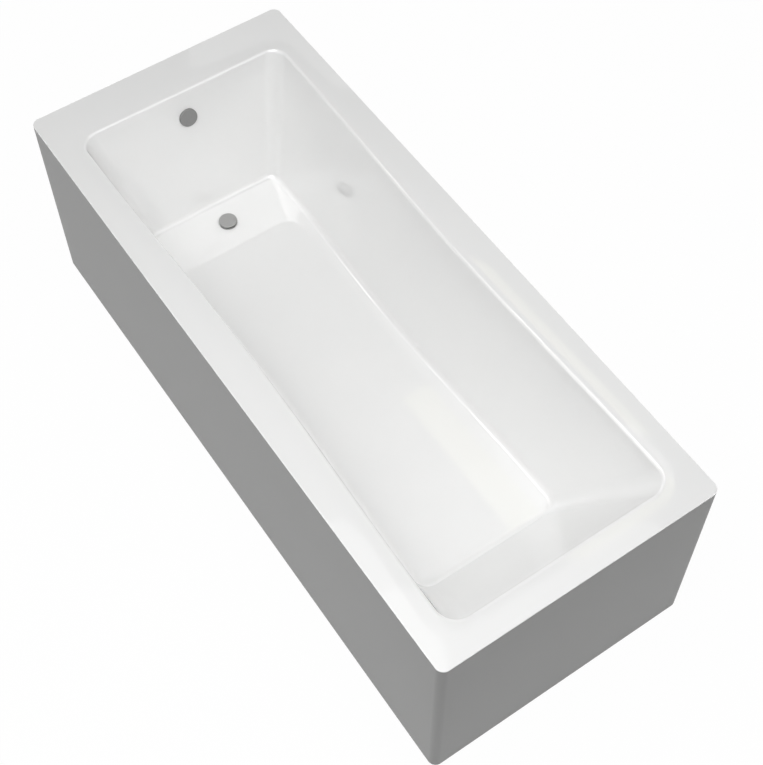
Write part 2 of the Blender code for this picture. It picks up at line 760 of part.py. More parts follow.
def screw_profile(radius, reach):
    """A pan head above 0 and a shank that runs down to a point."""
    return [
        (0, SCREW_HEAD_HEIGHT),
        (SCREW_HEAD_RADIUS * HEAD_CROWN_SHARE, SCREW_HEAD_HEIGHT),
        (SCREW_HEAD_RADIUS, SCREW_HEAD_HEIGHT / 2),
        (SCREW_HEAD_RADIUS, 0),
        (radius, 0),
        (radius, SCREW_TIP - reach),
        (0, -reach),
    ]


def make_board_screw(label, side, x, y):
    """Its head bears under the leg's web and its shank runs up into the board."""
    seat = leg_top(x) - LEG_SHEET - SEAT_GAP
    reach = SEAT_GAP + LEG_SHEET + BOARD_SCREW_BITE
    screw = turned(f"board_screw_{label}_{side}", screw_profile(SCREW_RADIUS, reach), SCREW_STEPS)
    return place(screw, ZINC_STEEL, None, (x, y, seat), (math.pi, 0, 0))


def make_support_screw(label, side, x, y):
    """Its head bears on the support's foot plate and its shank runs down through the leg's web."""
    seat = leg_top(x) + SEAT_GAP + SUPPORT_PLATE_SHEET + SEAT_GAP
    reach = seat - leg_top(x) + LEG_SHEET + SUPPORT_SCREW_BITE
    screw = turned(f"support_screw_{label}_{side}", screw_profile(SCREW_RADIUS, reach), SCREW_STEPS)
    return place(screw, ZINC_STEEL, None, (x, y, seat))


# Levels along the waste's axis, from the top of the floor
FLANGE_TOP = FLANGE_PROUD
FLANGE_BOTTOM = FLANGE_TOP - FLANGE_THICKNESS
SPIDER_TOP = FLANGE_TOP - SPIDER_DEPTH
SPIDER_BOTTOM = SPIDER_TOP - SPIDER_HEIGHT
CARTRIDGE_SEAT = SPIDER_TOP + SEAT_GAP
CARTRIDGE_BORE_RADIUS = CARTRIDGE_RADIUS - CARTRIDGE_WALL
SPINDLE_RADIUS = CARTRIDGE_BORE_RADIUS - THREAD_CLEARANCE
CAP_BOTTOM = FLANGE_TOP + CAP_SHUT_GAP + CAP_LIFT
CAP_BOSS_RADIUS = SPINDLE_RADIUS + CAP_BOSS_WALL
CAP_SOCKET_TOP = CAP_BOTTOM + CAP_THICKNESS / 2
FLOOR_WASHER_TOP = -SHELL_THICKNESS - SEAT_GAP
FLOOR_WASHER_BOTTOM = FLOOR_WASHER_TOP - BODY_SEAL_THICKNESS
BODY_TOP = FLOOR_WASHER_BOTTOM - SEAT_GAP
BODY_BORE_RADIUS = FLANGE_TAIL_RADIUS + THREAD_CLEARANCE
BODY_RADIUS = BODY_BORE_RADIUS + BODY_WALL
BODY_BOTTOM = BODY_TOP - BODY_LENGTH
INLET_LEVEL = BODY_TOP - INLET_DEPTH
TRAP_WASHER_TOP = BODY_BOTTOM - SEAT_GAP
TRAP_WASHER_BOTTOM = TRAP_WASHER_TOP - TRAP_SEAL_THICKNESS
TRAP_TOP = TRAP_WASHER_BOTTOM - SEAT_GAP
TRAP_COLLAR_BOTTOM = TRAP_TOP - TRAP_COLLAR_HEIGHT
TRAP_BORE_RADIUS = TRAP_RADIUS - TRAP_WALL
TRAP_DIP_LEVEL = TRAP_COLLAR_BOTTOM - TRAP_DIP
OUTLET_LEVEL = TRAP_DIP_LEVEL + 2 * TRAP_BEND_RADIUS + TRAP_OUTLET_RISE


def make_waste_flange():
    """A dished ring with a threaded tail, crossed by three spokes that carry the cartridge's boss."""
    chamfer = FLANGE_THICKNESS / 3
    tail_bottom = FLANGE_BOTTOM - FLANGE_TAIL_LENGTH
    profile = [
        (FLANGE_RADIUS - chamfer, FLANGE_TOP),
        (FLANGE_RADIUS, FLANGE_TOP - chamfer),
        (FLANGE_RADIUS, FLANGE_BOTTOM),
        (FLANGE_TAIL_RADIUS, FLANGE_BOTTOM),
        (FLANGE_TAIL_RADIUS, tail_bottom),
        (FLANGE_BORE_RADIUS, tail_bottom),
        (FLANGE_BORE_RADIUS, FLANGE_TOP - chamfer),
        (FLANGE_BORE_RADIUS + chamfer, FLANGE_TOP),
        (FLANGE_RADIUS - chamfer, FLANGE_TOP),
    ]
    flange = turned("waste_flange", profile)
    boss = turned_rod("spider_boss", SPIDER_BOSS_RADIUS, SPIDER_TOP, SPIDER_BOTTOM, SMALL_ROUND_STEPS)
    join(flange, as_cutter(boss, WASTE_AXIS))
    reach = (FLANGE_BORE_RADIUS + FLANGE_TAIL_RADIUS) / 2
    for index in range(SPOKE_COUNT):
        low = (SPIDER_BOSS_RADIUS / 2, -SPOKE_THICKNESS / 2, SPIDER_BOTTOM + SPOKE_THICKNESS / 4)
        high = (reach, SPOKE_THICKNESS / 2, SPIDER_TOP - SPOKE_THICKNESS / 4)
        turn = 2 * math.pi * index / SPOKE_COUNT + math.pi / 6
        spoke = as_cutter(box(f"spoke_{index}", low, high), WASTE_AXIS, (0, 0, 0), (0, 0, turn))
        join(flange, spoke)
    thread = turned_rod(
        "spider_thread", CARTRIDGE_RADIUS + THREAD_CLEARANCE, SPIDER_TOP + CUT_OVERRUN,
        SPIDER_BOTTOM - CUT_OVERRUN, SMALL_ROUND_STEPS,
    )
    cut(flange, as_cutter(thread, WASTE_AXIS))
    return place(flange, SATIN_METAL, WASTE_AXIS)


def make_flange_seal():
    bottom = -WASTE_SEAT_DEPTH + SEAT_GAP
    seal = turned_ring(
        "flange_seal", FLANGE_RADIUS - SEAT_GAP, FLANGE_SEAL_INNER_RADIUS, FLANGE_BOTTOM - SEAT_GAP, bottom
    )
    return place(seal, BLACK_RUBBER, WASTE_AXIS)


def make_cartridge():
    """The push-and-latch cartridge: a headed sleeve, closed at its lower end."""
    head_top = CARTRIDGE_SEAT + CARTRIDGE_HEAD_HEIGHT
    bottom = CARTRIDGE_SEAT - CARTRIDGE_LENGTH
    profile = [
        (CARTRIDGE_HEAD_RADIUS, head_top),
        (CARTRIDGE_HEAD_RADIUS, CARTRIDGE_SEAT),
        (CARTRIDGE_RADIUS, CARTRIDGE_SEAT),
        (CARTRIDGE_RADIUS, bottom),
        (0, bottom),
        (0, bottom + CARTRIDGE_WALL),
        (CARTRIDGE_BORE_RADIUS, bottom + CARTRIDGE_WALL),
        (CARTRIDGE_BORE_RADIUS, head_top),
        (CARTRIDGE_HEAD_RADIUS, head_top),
    ]
    return place(turned("push_cartridge", profile, SMALL_ROUND_STEPS), BRASS, WASTE_AXIS)


def make_cap():
    """The round cap that shows in the bath, with a blind boss under it for the spindle."""
    top = CAP_BOTTOM + CAP_THICKNESS
    eased = CAP_EDGE_RADIUS * EASED_SHARE
    socket_radius = SPINDLE_RADIUS + SEAT_GAP
    profile = [
        (0, top),
        (CAP_RADIUS - CAP_EDGE_RADIUS, top),
        (CAP_RADIUS - eased, top - eased),
        (CAP_RADIUS, top - CAP_EDGE_RADIUS),
        (CAP_RADIUS, CAP_BOTTOM + eased),
        (CAP_RADIUS - eased, CAP_BOTTOM),
        (CAP_BOSS_RADIUS, CAP_BOTTOM),
        (CAP_BOSS_RADIUS, CAP_BOTTOM - CAP_BOSS_HEIGHT),
        (socket_radius, CAP_BOTTOM - CAP_BOSS_HEIGHT),
        (socket_radius, CAP_SOCKET_TOP),
        (0, CAP_SOCKET_TOP),
    ]
    return place(turned("waste_cap", profile, DISC_STEPS), SATIN_METAL, WASTE_AXIS)


def make_spindle():
    top = CAP_SOCKET_TOP - SEAT_GAP
    spindle = turned_rod("plug_spindle", SPINDLE_RADIUS, top, top - SPINDLE_LENGTH, SMALL_ROUND_STEPS)
    return place(spindle, BRASS, WASTE_AXIS)


def make_cap_seal():
    top = CAP_BOTTOM - SEAT_GAP
    seal = turned_ring(
        "cap_seal", FLANGE_BORE_RADIUS - CAP_SEAL_CLEARANCE, CAP_BOSS_RADIUS + SEAT_GAP, top,
        top - CAP_SEAL_THICKNESS,
    )
    return place(seal, BLACK_RUBBER, WASTE_AXIS)


def make_floor_washer():
    washer = turned_ring(
        "floor_washer", BODY_SEAL_RADIUS, BODY_BORE_RADIUS + SEAT_GAP, FLOOR_WASHER_TOP, FLOOR_WASHER_BOTTOM
    )
    return place(washer, BLACK_RUBBER, WASTE_AXIS)


def make_waste_body():
    """A flanged sleeve under the floor, with an inlet at its side for the overflow hose."""
    flange_under = BODY_TOP - BODY_FLANGE_THICKNESS
    profile = [
        (0, BODY_TOP),
        (BODY_FLANGE_RADIUS, BODY_TOP),
        (BODY_FLANGE_RADIUS, flange_under),
        (BODY_RADIUS, flange_under),
        (BODY_RADIUS, BODY_BOTTOM),
        (0, BODY_BOTTOM),
    ]
    body = turned("waste_body", profile)
    end = (-INLET_REACH, 0, INLET_LEVEL)
    past_end = (-INLET_REACH - CUT_OVERRUN, 0, INLET_LEVEL)
    inlet = pipe("side_inlet", [(0, 0, INLET_LEVEL), end], INLET_RADIUS, PIPE_SIDES)
    join(body, as_cutter(inlet, WASTE_AXIS))
    inlet_bore = pipe("inlet_bore", [(0, 0, INLET_LEVEL), past_end], INLET_BORE_RADIUS, PIPE_SIDES)
    cut(body, as_cutter(inlet_bore, WASTE_AXIS))
    bore = turned_rod("body_bore", BODY_BORE_RADIUS, BODY_TOP + CUT_OVERRUN, BODY_BOTTOM - CUT_OVERRUN)
    cut(body, as_cutter(bore, WASTE_AXIS))
    return place(body, WHITE_PLASTIC, WASTE_AXIS)


def make_trap_washer():
    washer = turned_ring(
        "trap_washer", BODY_RADIUS, BODY_BORE_RADIUS, TRAP_WASHER_TOP, TRAP_WASHER_BOTTOM
    )
    return place(washer, BLACK_RUBBER, WASTE_AXIS)


def make_trap():
    """The trap hangs from the waste body by its collar, dips, and leads out towards +Y."""
    corners = [
        (0, 0, TRAP_TOP - TRAP_COLLAR_HEIGHT / 2),
        (0, 0, TRAP_DIP_LEVEL),
        (0, TRAP_WIDTH, TRAP_DIP_LEVEL),
        (0, TRAP_WIDTH, OUTLET_LEVEL),
        (0, TRAP_OUTLET_REACH, OUTLET_LEVEL),
    ]
    route = rounded_route(corners, TRAP_BEND_RADIUS, TRAP_CORNER_STEPS)
    trap = pipe("bath_trap", route, TRAP_RADIUS, PIPE_SIDES)
    collar = turned_rod("trap_collar", BODY_RADIUS, TRAP_TOP, TRAP_COLLAR_BOTTOM)
    join(trap, as_cutter(collar, WASTE_AXIS))
    start = Vector((0, 0, TRAP_TOP + CUT_OVERRUN))
    finish = route[-1] + Vector((0, CUT_OVERRUN, 0))
    hollow = pipe("trap_hollow", [start, *route[1:-1], finish], TRAP_BORE_RADIUS, PIPE_SIDES)
    cut(trap, as_cutter(hollow, WASTE_AXIS))
    return place(trap, WHITE_PLASTIC, WASTE_AXIS)


def make_trap_nut():
    """A ribbed union nut, whose lip draws the trap's collar up to the waste body."""
    lip_top = TRAP_COLLAR_BOTTOM - SEAT_GAP
    bottom = lip_top - TRAP_NUT_WALL
    top = bottom + TRAP_NUT_HEIGHT
    inner = BODY_RADIUS + THREAD_CLEARANCE
    outer = inner + TRAP_NUT_WALL
    lip_radius = TRAP_RADIUS + THREAD_CLEARANCE
    profile = [
        (outer, top),
        (outer, bottom),
        (lip_radius, bottom),
        (lip_radius, lip_top),
        (inner, lip_top),
        (inner, top),
        (outer, top),
    ]
    nut = turned("trap_nut", profile)
    for index in range(TRAP_NUT_RIBS):
        low = (inner + TRAP_NUT_WALL / 2, -TRAP_RIB_WIDTH / 2, bottom + TRAP_RIB_WIDTH / 2)
        high = (outer + TRAP_RIB_WIDTH / 2, TRAP_RIB_WIDTH / 2, top - TRAP_RIB_WIDTH / 2)
        turn = 2 * math.pi * index / TRAP_NUT_RIBS
        rib = as_cutter(box(f"nut_rib_{index}", low, high), WASTE_AXIS, (0, 0, 0), (0, 0, turn))
        join(nut, rib)
    return place(nut, WHITE_PLASTIC, WASTE_AXIS)


# The outlet's pieces turn about its own axis, with their +Z along world +Y
OUTLET_PLACE = (0, TRAP_OUTLET_REACH, OUTLET_LEVEL)
OUTLET_TURN = (-math.pi / 2, 0, 0)


def make_outlet_washer():
    washer = turned_ring(
        "outlet_washer", TRAP_RADIUS, TRAP_BORE_RADIUS, SEAT_GAP + OUTLET_SEAL_LENGTH, SEAT_GAP
    )
    return place(washer, BLACK_RUBBER, WASTE_AXIS, OUTLET_PLACE, OUTLET_TURN)


def make_outlet_nut():
    inner = TRAP_RADIUS + THREAD_CLEARANCE
    outer = inner + TRAP_WALL
    face_back = 2 * SEAT_GAP + OUTLET_SEAL_LENGTH
    front = face_back + TRAP_WALL
    back = front - OUTLET_NUT_LENGTH
    profile = [
        (outer, front),
        (outer, back),
        (inner, back),
        (inner, face_back),
        (TRAP_BORE_RADIUS, face_back),
        (TRAP_BORE_RADIUS, front),
        (outer, front),
    ]
    nut = turned("outlet_nut", profile)
    return place(nut, WHITE_PLASTIC, WASTE_AXIS, OUTLET_PLACE, OUTLET_TURN)


# Levels along the overflow's axis, from the face of the end wall
PLATE_TOP = SEAT_GAP + PLATE_THICKNESS
COVER_INNER_RADIUS = COVER_RADIUS - COVER_WALL
OVERFLOW_WASHER_TOP = -SHELL_THICKNESS - SEAT_GAP
OVERFLOW_WASHER_BOTTOM = OVERFLOW_WASHER_TOP - OVERFLOW_SEAL_THICKNESS
ELBOW_FLANGE_TOP = OVERFLOW_WASHER_BOTTOM - SEAT_GAP
ELBOW_FLANGE_BOTTOM = ELBOW_FLANGE_TOP - ELBOW_FLANGE_THICKNESS
ELBOW_CUP_BOTTOM = ELBOW_FLANGE_BOTTOM - ELBOW_CUP_DEPTH
CLAMP_SCREW_SEAT = PLATE_TOP + SEAT_GAP
# Straight down, in the overflow's own axes
WORLD_DOWN = Vector((math.cos(END_WALL_ANGLE), 0, -math.sin(END_WALL_ANGLE)))
SPOUT_TURN = Vector((0, 0, -ELBOW_BACK_REACH))
SPOUT_END = SPOUT_TURN + WORLD_DOWN * ELBOW_DROP


def make_overflow_plate():
    """A ring with a bar across it, drawn to the elbow behind the wall by the clamp screw."""
    plate = turned_ring("overflow_plate", PLATE_RADIUS, PLATE_WINDOW_RADIUS, PLATE_TOP, SEAT_GAP)
    reach = (PLATE_RADIUS + PLATE_WINDOW_RADIUS) / 2
    low = (-PLATE_BAR_WIDTH / 2, -reach, SEAT_GAP)
    high = (PLATE_BAR_WIDTH / 2, reach, PLATE_TOP)
    join(plate, as_cutter(box("plate_bar", low, high), OVERFLOW_AXIS))
    hole = turned_rod(
        "plate_hole", CLAMP_SCREW_RADIUS + SCREW_CLEARANCE, PLATE_TOP + CUT_OVERRUN, -CUT_OVERRUN,
        SCREW_STEPS,
    )
    cut(plate, as_cutter(hole, OVERFLOW_AXIS))
    return place(plate, SATIN_METAL, OVERFLOW_AXIS)


def make_overflow_cover():
    """A shallow cup that hides the plate, with water slots in its lower edge."""
    face_back = COVER_DEPTH - COVER_FACE_THICKNESS
    eased = COVER_EDGE_RADIUS * EASED_SHARE
    profile = [
        (0, COVER_DEPTH),
        (COVER_RADIUS - COVER_EDGE_RADIUS, COVER_DEPTH),
        (COVER_RADIUS - eased, COVER_DEPTH - eased),
        (COVER_RADIUS, COVER_DEPTH - COVER_EDGE_RADIUS),
        (COVER_RADIUS, SEAT_GAP),
        (COVER_INNER_RADIUS, SEAT_GAP),
        (COVER_INNER_RADIUS, face_back),
        (0, face_back),
    ]
    cover = turned("overflow_cover", profile, DISC_STEPS)
    for index in range(COVER_SLOT_COUNT):
        y = (index - (COVER_SLOT_COUNT - 1) / 2) * COVER_SLOT_SPREAD
        low = (COVER_INNER_RADIUS / 2, y - COVER_SLOT_WIDTH / 2, -CUT_OVERRUN)
        high = (COVER_RADIUS + CUT_OVERRUN, y + COVER_SLOT_WIDTH / 2, SEAT_GAP + COVER_SLOT_HEIGHT)
        cut(cover, as_cutter(box(f"cover_slot_{index}", low, high), OVERFLOW_AXIS))
    return place(cover, SATIN_METAL, OVERFLOW_AXIS)


def make_overflow_screw():
    screw = turned(
        "overflow_screw", screw_profile(CLAMP_SCREW_RADIUS, CLAMP_SCREW_LENGTH), SCREW_STEPS
    )
    return place(screw, ZINC_STEEL, OVERFLOW_AXIS, (0, 0, CLAMP_SCREW_SEAT))


def make_overflow_washer():
    washer = turned_ring(
        "overflow_washer", OVERFLOW_SEAL_RADIUS, ELBOW_SPIGOT_RADIUS + SEAT_GAP, OVERFLOW_WASHER_TOP,
        OVERFLOW_WASHER_BOTTOM,
    )
    return place(washer, BLACK_RUBBER, OVERFLOW_AXIS)


def make_elbow():
    """A flanged cup behind the wall: a boss on a web takes the clamp screw, and a spout turns down."""
    profile = [
        (0, -SEAT_GAP),
        (ELBOW_SPIGOT_RADIUS, -SEAT_GAP),
        (ELBOW_SPIGOT_RADIUS, ELBOW_FLANGE_TOP),
        (ELBOW_FLANGE_RADIUS, ELBOW_FLANGE_TOP),
        (ELBOW_FLANGE_RADIUS, ELBOW_FLANGE_BOTTOM),
        (ELBOW_SPIGOT_RADIUS, ELBOW_FLANGE_BOTTOM),
        (ELBOW_SPIGOT_RADIUS, ELBOW_CUP_BOTTOM),
        (ELBOW_RADIUS + ELBOW_SPIGOT_WALL, ELBOW_CUP_BOTTOM - ELBOW_SPIGOT_WALL),
        (0, ELBOW_CUP_BOTTOM - ELBOW_SPIGOT_WALL),
    ]
    elbow = turned("overflow_elbow", profile)
    corners = [(0, 0, ELBOW_FLANGE_BOTTOM), SPOUT_TURN, SPOUT_END]
    route = rounded_route(corners, ELBOW_BEND_RADIUS, ELBOW_CORNER_STEPS)
    spout = pipe("elbow_spout", route, ELBOW_RADIUS, PIPE_SIDES)
    join(elbow, as_cutter(spout, OVERFLOW_AXIS))
    chamber = turned_rod(
        "elbow_chamber", ELBOW_SPIGOT_RADIUS - ELBOW_SPIGOT_WALL, CUT_OVERRUN,
        ELBOW_CUP_BOTTOM + ELBOW_SPIGOT_WALL,
    )
    cut(elbow, as_cutter(chamber, OVERFLOW_AXIS))
    past_end = SPOUT_END + WORLD_DOWN * CUT_OVERRUN
    inside = pipe("elbow_inside", [*route[:-1], past_end], ELBOW_BORE_RADIUS, PIPE_SIDES)
    cut(elbow, as_cutter(inside, OVERFLOW_AXIS))
    boss_top = -2 * SEAT_GAP
    boss_bottom = boss_top - ELBOW_BOSS_LENGTH
    web_reach = ELBOW_SPIGOT_RADIUS - ELBOW_SPIGOT_WALL / 2
    low = (-ELBOW_SPIGOT_WALL / 2, -web_reach, boss_bottom + ELBOW_SPIGOT_WALL / 2)
    high = (ELBOW_SPIGOT_WALL / 2, web_reach, boss_top - ELBOW_SPIGOT_WALL)
    join(elbow, as_cutter(box("elbow_web", low, high), OVERFLOW_AXIS))
    boss = turned_rod("elbow_boss", ELBOW_BOSS_RADIUS, boss_top, boss_bottom, SMALL_ROUND_STEPS)
    join(elbow, as_cutter(boss, OVERFLOW_AXIS))
    thread = turned_rod(
        "elbow_thread", CLAMP_SCREW_RADIUS + SCREW_CLEARANCE, boss_top + CUT_OVERRUN,
        boss_bottom - CUT_OVERRUN, SCREW_STEPS,
    )
    cut(elbow, as_cutter(thread, OVERFLOW_AXIS))
    return place(elbow, BLACK_PLASTIC, OVERFLOW_AXIS)


bpy.context.view_layer.update()
UP = Vector((0, 0, 1))
INLET_OUT = WASTE_AXIS.matrix_world.to_3x3() @ Vector((-1, 0, 0))
HOSE_TOP = OVERFLOW_AXIS.matrix_world @ SPOUT_END + UP * HOSE_GRIP
HOSE_END = WASTE_AXIS.matrix_world @ Vector((HOSE_GRIP - INLET_REACH, 0, INLET_LEVEL))
HOSE_BORE_RADIUS = INLET_RADIUS + HOSE_BORE_CLEARANCE
HOSE_ROOT_RADIUS = HOSE_BORE_RADIUS + HOSE_ROOT_WALL


def evenly_spaced(points, spans):
    """Points at equal distances along a line of points."""
    lengths = [0]
    for before, after in zip(points, points[1:]):
        lengths.append(lengths[-1] + (after - before).length)
    spaced = []
    index = 0
    for step in range(spans + 1):
        wanted = lengths[-1] * step / spans
        while index < len(points) - 2 and lengths[index + 1] < wanted:
            index += 1
        share = (wanted - lengths[index]) / (lengths[index + 1] - lengths[index])
        spaced.append(points[index].lerp(points[index + 1], share))
    return spaced


def make_hose():
    """A ribbed hose from the elbow's spout to the side inlet, plain where it grips them."""
    leave = HOSE_TOP - UP * HOSE_CUFF_LENGTH
    arrive = HOSE_END + INLET_OUT * HOSE_CUFF_LENGTH
    pulls = (leave - UP * HOSE_SLACK, arrive + INLET_OUT * HOSE_SLACK)
    route = []
    for step in range(HOSE_ROUTE_STEPS + 1):
        share = step / HOSE_ROUTE_STEPS
        rest = 1 - share
        near_ends = leave * rest**3 + arrive * share**3
        route.append(near_ends + 3 * rest * share * (pulls[0] * rest + pulls[1] * share))
    ribbed = evenly_spaced(route, 2 * HOSE_RIB_COUNT)
    crest_share = 1 + HOSE_RIB_HEIGHT / HOSE_ROOT_RADIUS
    scales = [crest_share if index % 2 else 1 for index in range(len(ribbed))]
    hose = pipe(
        "overflow_hose", [HOSE_TOP, *ribbed, HOSE_END], HOSE_ROOT_RADIUS, HOSE_SIDES, [1, *scales, 1]
    )
    past_ends = (HOSE_TOP + UP * CUT_OVERRUN, HOSE_END - INLET_OUT * CUT_OVERRUN)
    plain = evenly_spaced(route, HOSE_BORE_SPANS)
    bore = pipe("hose_bore", [past_ends[0], *plain, past_ends[1]], HOSE_BORE_RADIUS, HOSE_SIDES)
    cut(hose, as_cutter(bore))
    return place(hose, WHITE_PLASTIC)


def make_hose_clip(name, place_on_hose, tilt):
    """A worm-drive clip: a band round the hose's plain end, with a screw housing on it."""
    inner = HOSE_ROOT_RADIUS + SEAT_GAP
    outer = inner + CLIP_THICKNESS
    half = CLIP_WIDTH / 2
    clip = turned_ring(name, outer, inner, half, -half)
    low = (inner + CLIP_THICKNESS / 2, -CLIP_HOUSING_LENGTH / 2, CLIP_THICKNESS - half)
    high = (inner + CLIP_HOUSING_HEIGHT, CLIP_HOUSING_LENGTH / 2, half - CLIP_THICKNESS)
    housing = box(name + "_housing", low, high)
    join(clip, as_cutter(housing, None, place_on_hose, (0, tilt, 0)))
    return place(clip, ZINC_STEEL, None, place_on_hose, (0, tilt, 0))


make_tub()
make_skirt()
make_board()
for leg_label, leg_x in LEG_PLACES:
    make_leg(leg_label, leg_x)
    for side_label, side_sign in SIDES:
        make_foot(leg_label, side_label, leg_x, side_sign * FOOT_Y)
        make_lock_nut(leg_label, side_label, leg_x, side_sign * FOOT_Y)
        make_support(leg_label, side_label, side_sign, leg_x)
        make_board_screw(leg_label, side_label, leg_x, side_sign * BOARD_SCREW_Y)
        make_support_screw(leg_label, side_label, leg_x, side_sign * SUPPORT_SCREW_Y)
make_waste_flange()
make_flange_seal()
make_cartridge()
make_cap()
make_spindle()
make_cap_seal()
make_floor_washer()
make_waste_body()
make_trap_washer()
make_trap()
make_trap_nut()
make_outlet_washer()
make_outlet_nut()
make_overflow_plate()
make_overflow_cover()
make_overflow_screw()
make_overflow_washer()
make_elbow()
make_hose()
make_hose_clip("upper_hose_clip", HOSE_TOP - UP * HOSE_GRIP / 2, 0)
make_hose_clip("lower_hose_clip", HOSE_END + INLET_OUT * HOSE_GRIP / 2, FLOOR_TILT - math.pi / 2)
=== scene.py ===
"""A single-ended bathtub with a wrap-round skirt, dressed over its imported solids.

Metres, +Z up. The bath stands on z = 0, centred on the origin: the waste and the upright end wall are at
-X, the sloping backrest is at +X, and the long side that the camera sees faces -Y.
"""

import math

import bpy
import numpy as np
from mathutils import Matrix, Vector


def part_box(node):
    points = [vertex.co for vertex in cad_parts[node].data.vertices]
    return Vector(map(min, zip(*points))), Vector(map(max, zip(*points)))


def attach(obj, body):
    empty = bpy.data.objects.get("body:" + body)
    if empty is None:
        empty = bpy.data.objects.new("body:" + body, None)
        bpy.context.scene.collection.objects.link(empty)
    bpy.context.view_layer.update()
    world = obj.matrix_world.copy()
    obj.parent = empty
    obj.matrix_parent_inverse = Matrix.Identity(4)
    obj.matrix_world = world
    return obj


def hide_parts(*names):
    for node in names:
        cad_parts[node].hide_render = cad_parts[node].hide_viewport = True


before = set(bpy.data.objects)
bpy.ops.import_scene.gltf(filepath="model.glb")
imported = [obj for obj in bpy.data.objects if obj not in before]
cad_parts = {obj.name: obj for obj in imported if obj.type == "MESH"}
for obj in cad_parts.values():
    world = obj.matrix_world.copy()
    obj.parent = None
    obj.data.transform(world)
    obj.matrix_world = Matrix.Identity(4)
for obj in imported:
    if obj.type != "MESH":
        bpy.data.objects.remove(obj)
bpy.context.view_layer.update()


# The tub moulding: one white acrylic sheet drawn down over a mould into deck, walls, backrest and floor.
# Its back carries rough glass-fibre laid in resin. The trimmed edge of the deck lies on the skirt, and the
# waste hole and its shallow seat are cut once the moulding is cold.

LENGTH = 1.700
WIDTH = 0.700
HEIGHT = 0.545
OUTER_CORNER_RADIUS = 0.020
SHELL_THICKNESS = 0.005
TRIM_RADIUS = 0.0009
OPENING_FAR = -0.7325
OPENING_NEAR = 0.7845
OPENING_HALF_WIDTH = 0.2797
OPENING_RADII = (0.040, 0.048)
WAIST_DEPTH = 0.0144
BASIN_DEPTH = 0.337
FLOOR_FALL = 0.0126
FLOOR_FAR = -0.638
FLOOR_NEAR = 0.572
FLOOR_HALF_WIDTH = 0.1877
FLOOR_RADII = (0.028, 0.036)
FLOOR_SLOPE = FLOOR_FALL / (FLOOR_NEAR - FLOOR_FAR)
SHOULDER_REACH = 0.042
SHOULDER_DROP = 0.0016
RIM_ROLL_REACH = 0.0061
FOOT_REACH = 0.0125
WASTE_X = -0.5635
WASTE_HOLE_RADIUS = 0.0205
WASTE_SEAT_RADIUS = 0.0233
WASTE_SEAT_DEPTH = 0.0020
WASTE_SEAT_EDGE = ((0.0006, 0.0), (0.0002, -0.0001), (0.0, -0.0005))  # beyond the seat, and level
OVERFLOW_CENTRE = Vector((-0.71217, 0, 0.4725))
OVERFLOW_TILT = math.pi / 2 - math.atan2(FLOOR_FAR - OPENING_FAR, BASIN_DEPTH)
OVERFLOW_HOLE_RADIUS = 0.020
OVERFLOW_PLACE = Matrix.Translation(OVERFLOW_CENTRE) @ Matrix.Rotation(OVERFLOW_TILT, 4, "Y")
HOLE_OVERRUN = 0.004
ROUND_ANGLE = math.radians(35)
DECK_SHARES = (0.01, 0.1, 0.4, 0.7)
WALL_SHARES = (0.004, 0.02, 0.08, 0.2, 0.35, 0.5, 0.65, 0.8, 0.92, 0.98, 0.996)
FLOOR_SHARES = (0.01, 0.05, 0.15, 0.3, 0.5, 0.7, 0.84, 0.93, 0.98, 0.996, 1)

ACRYLIC_WHITES = ((0.872, 0.872, 0.866), (0.852, 0.854, 0.852))
ACRYLIC_POLISH = (0.006, 0.014)
ACRYLIC_IOR = 2.1
PEEL_SHARE = 0.0012
FIBRE_COLOURS = ((0.60, 0.57, 0.47), (0.80, 0.78, 0.70))
FIBRE_ROUGHNESS = 0.62
FIBRE_DEPTH = 0.0012
FIBRES_TO_METRE = 240.0
FIBRE_STRETCH = (1.0, 1.0, 0.3)
FIBRE_STRANDS = (4.0, 0.65, 1.2)
RESIN_COLOUR = (0.70, 0.68, 0.59)


def floor_height(x):
    """The floor's height, which rises evenly from the end wall to the backrest."""
    return HEIGHT - BASIN_DEPTH + FLOOR_SLOPE * (x - FLOOR_FAR)


WASTE_CENTRE = Vector((WASTE_X, 0, floor_height(WASTE_X)))
WASTE_PLACE = Matrix.Translation(WASTE_CENTRE) @ Matrix.Rotation(-math.atan(FLOOR_SLOPE), 4, "Y")


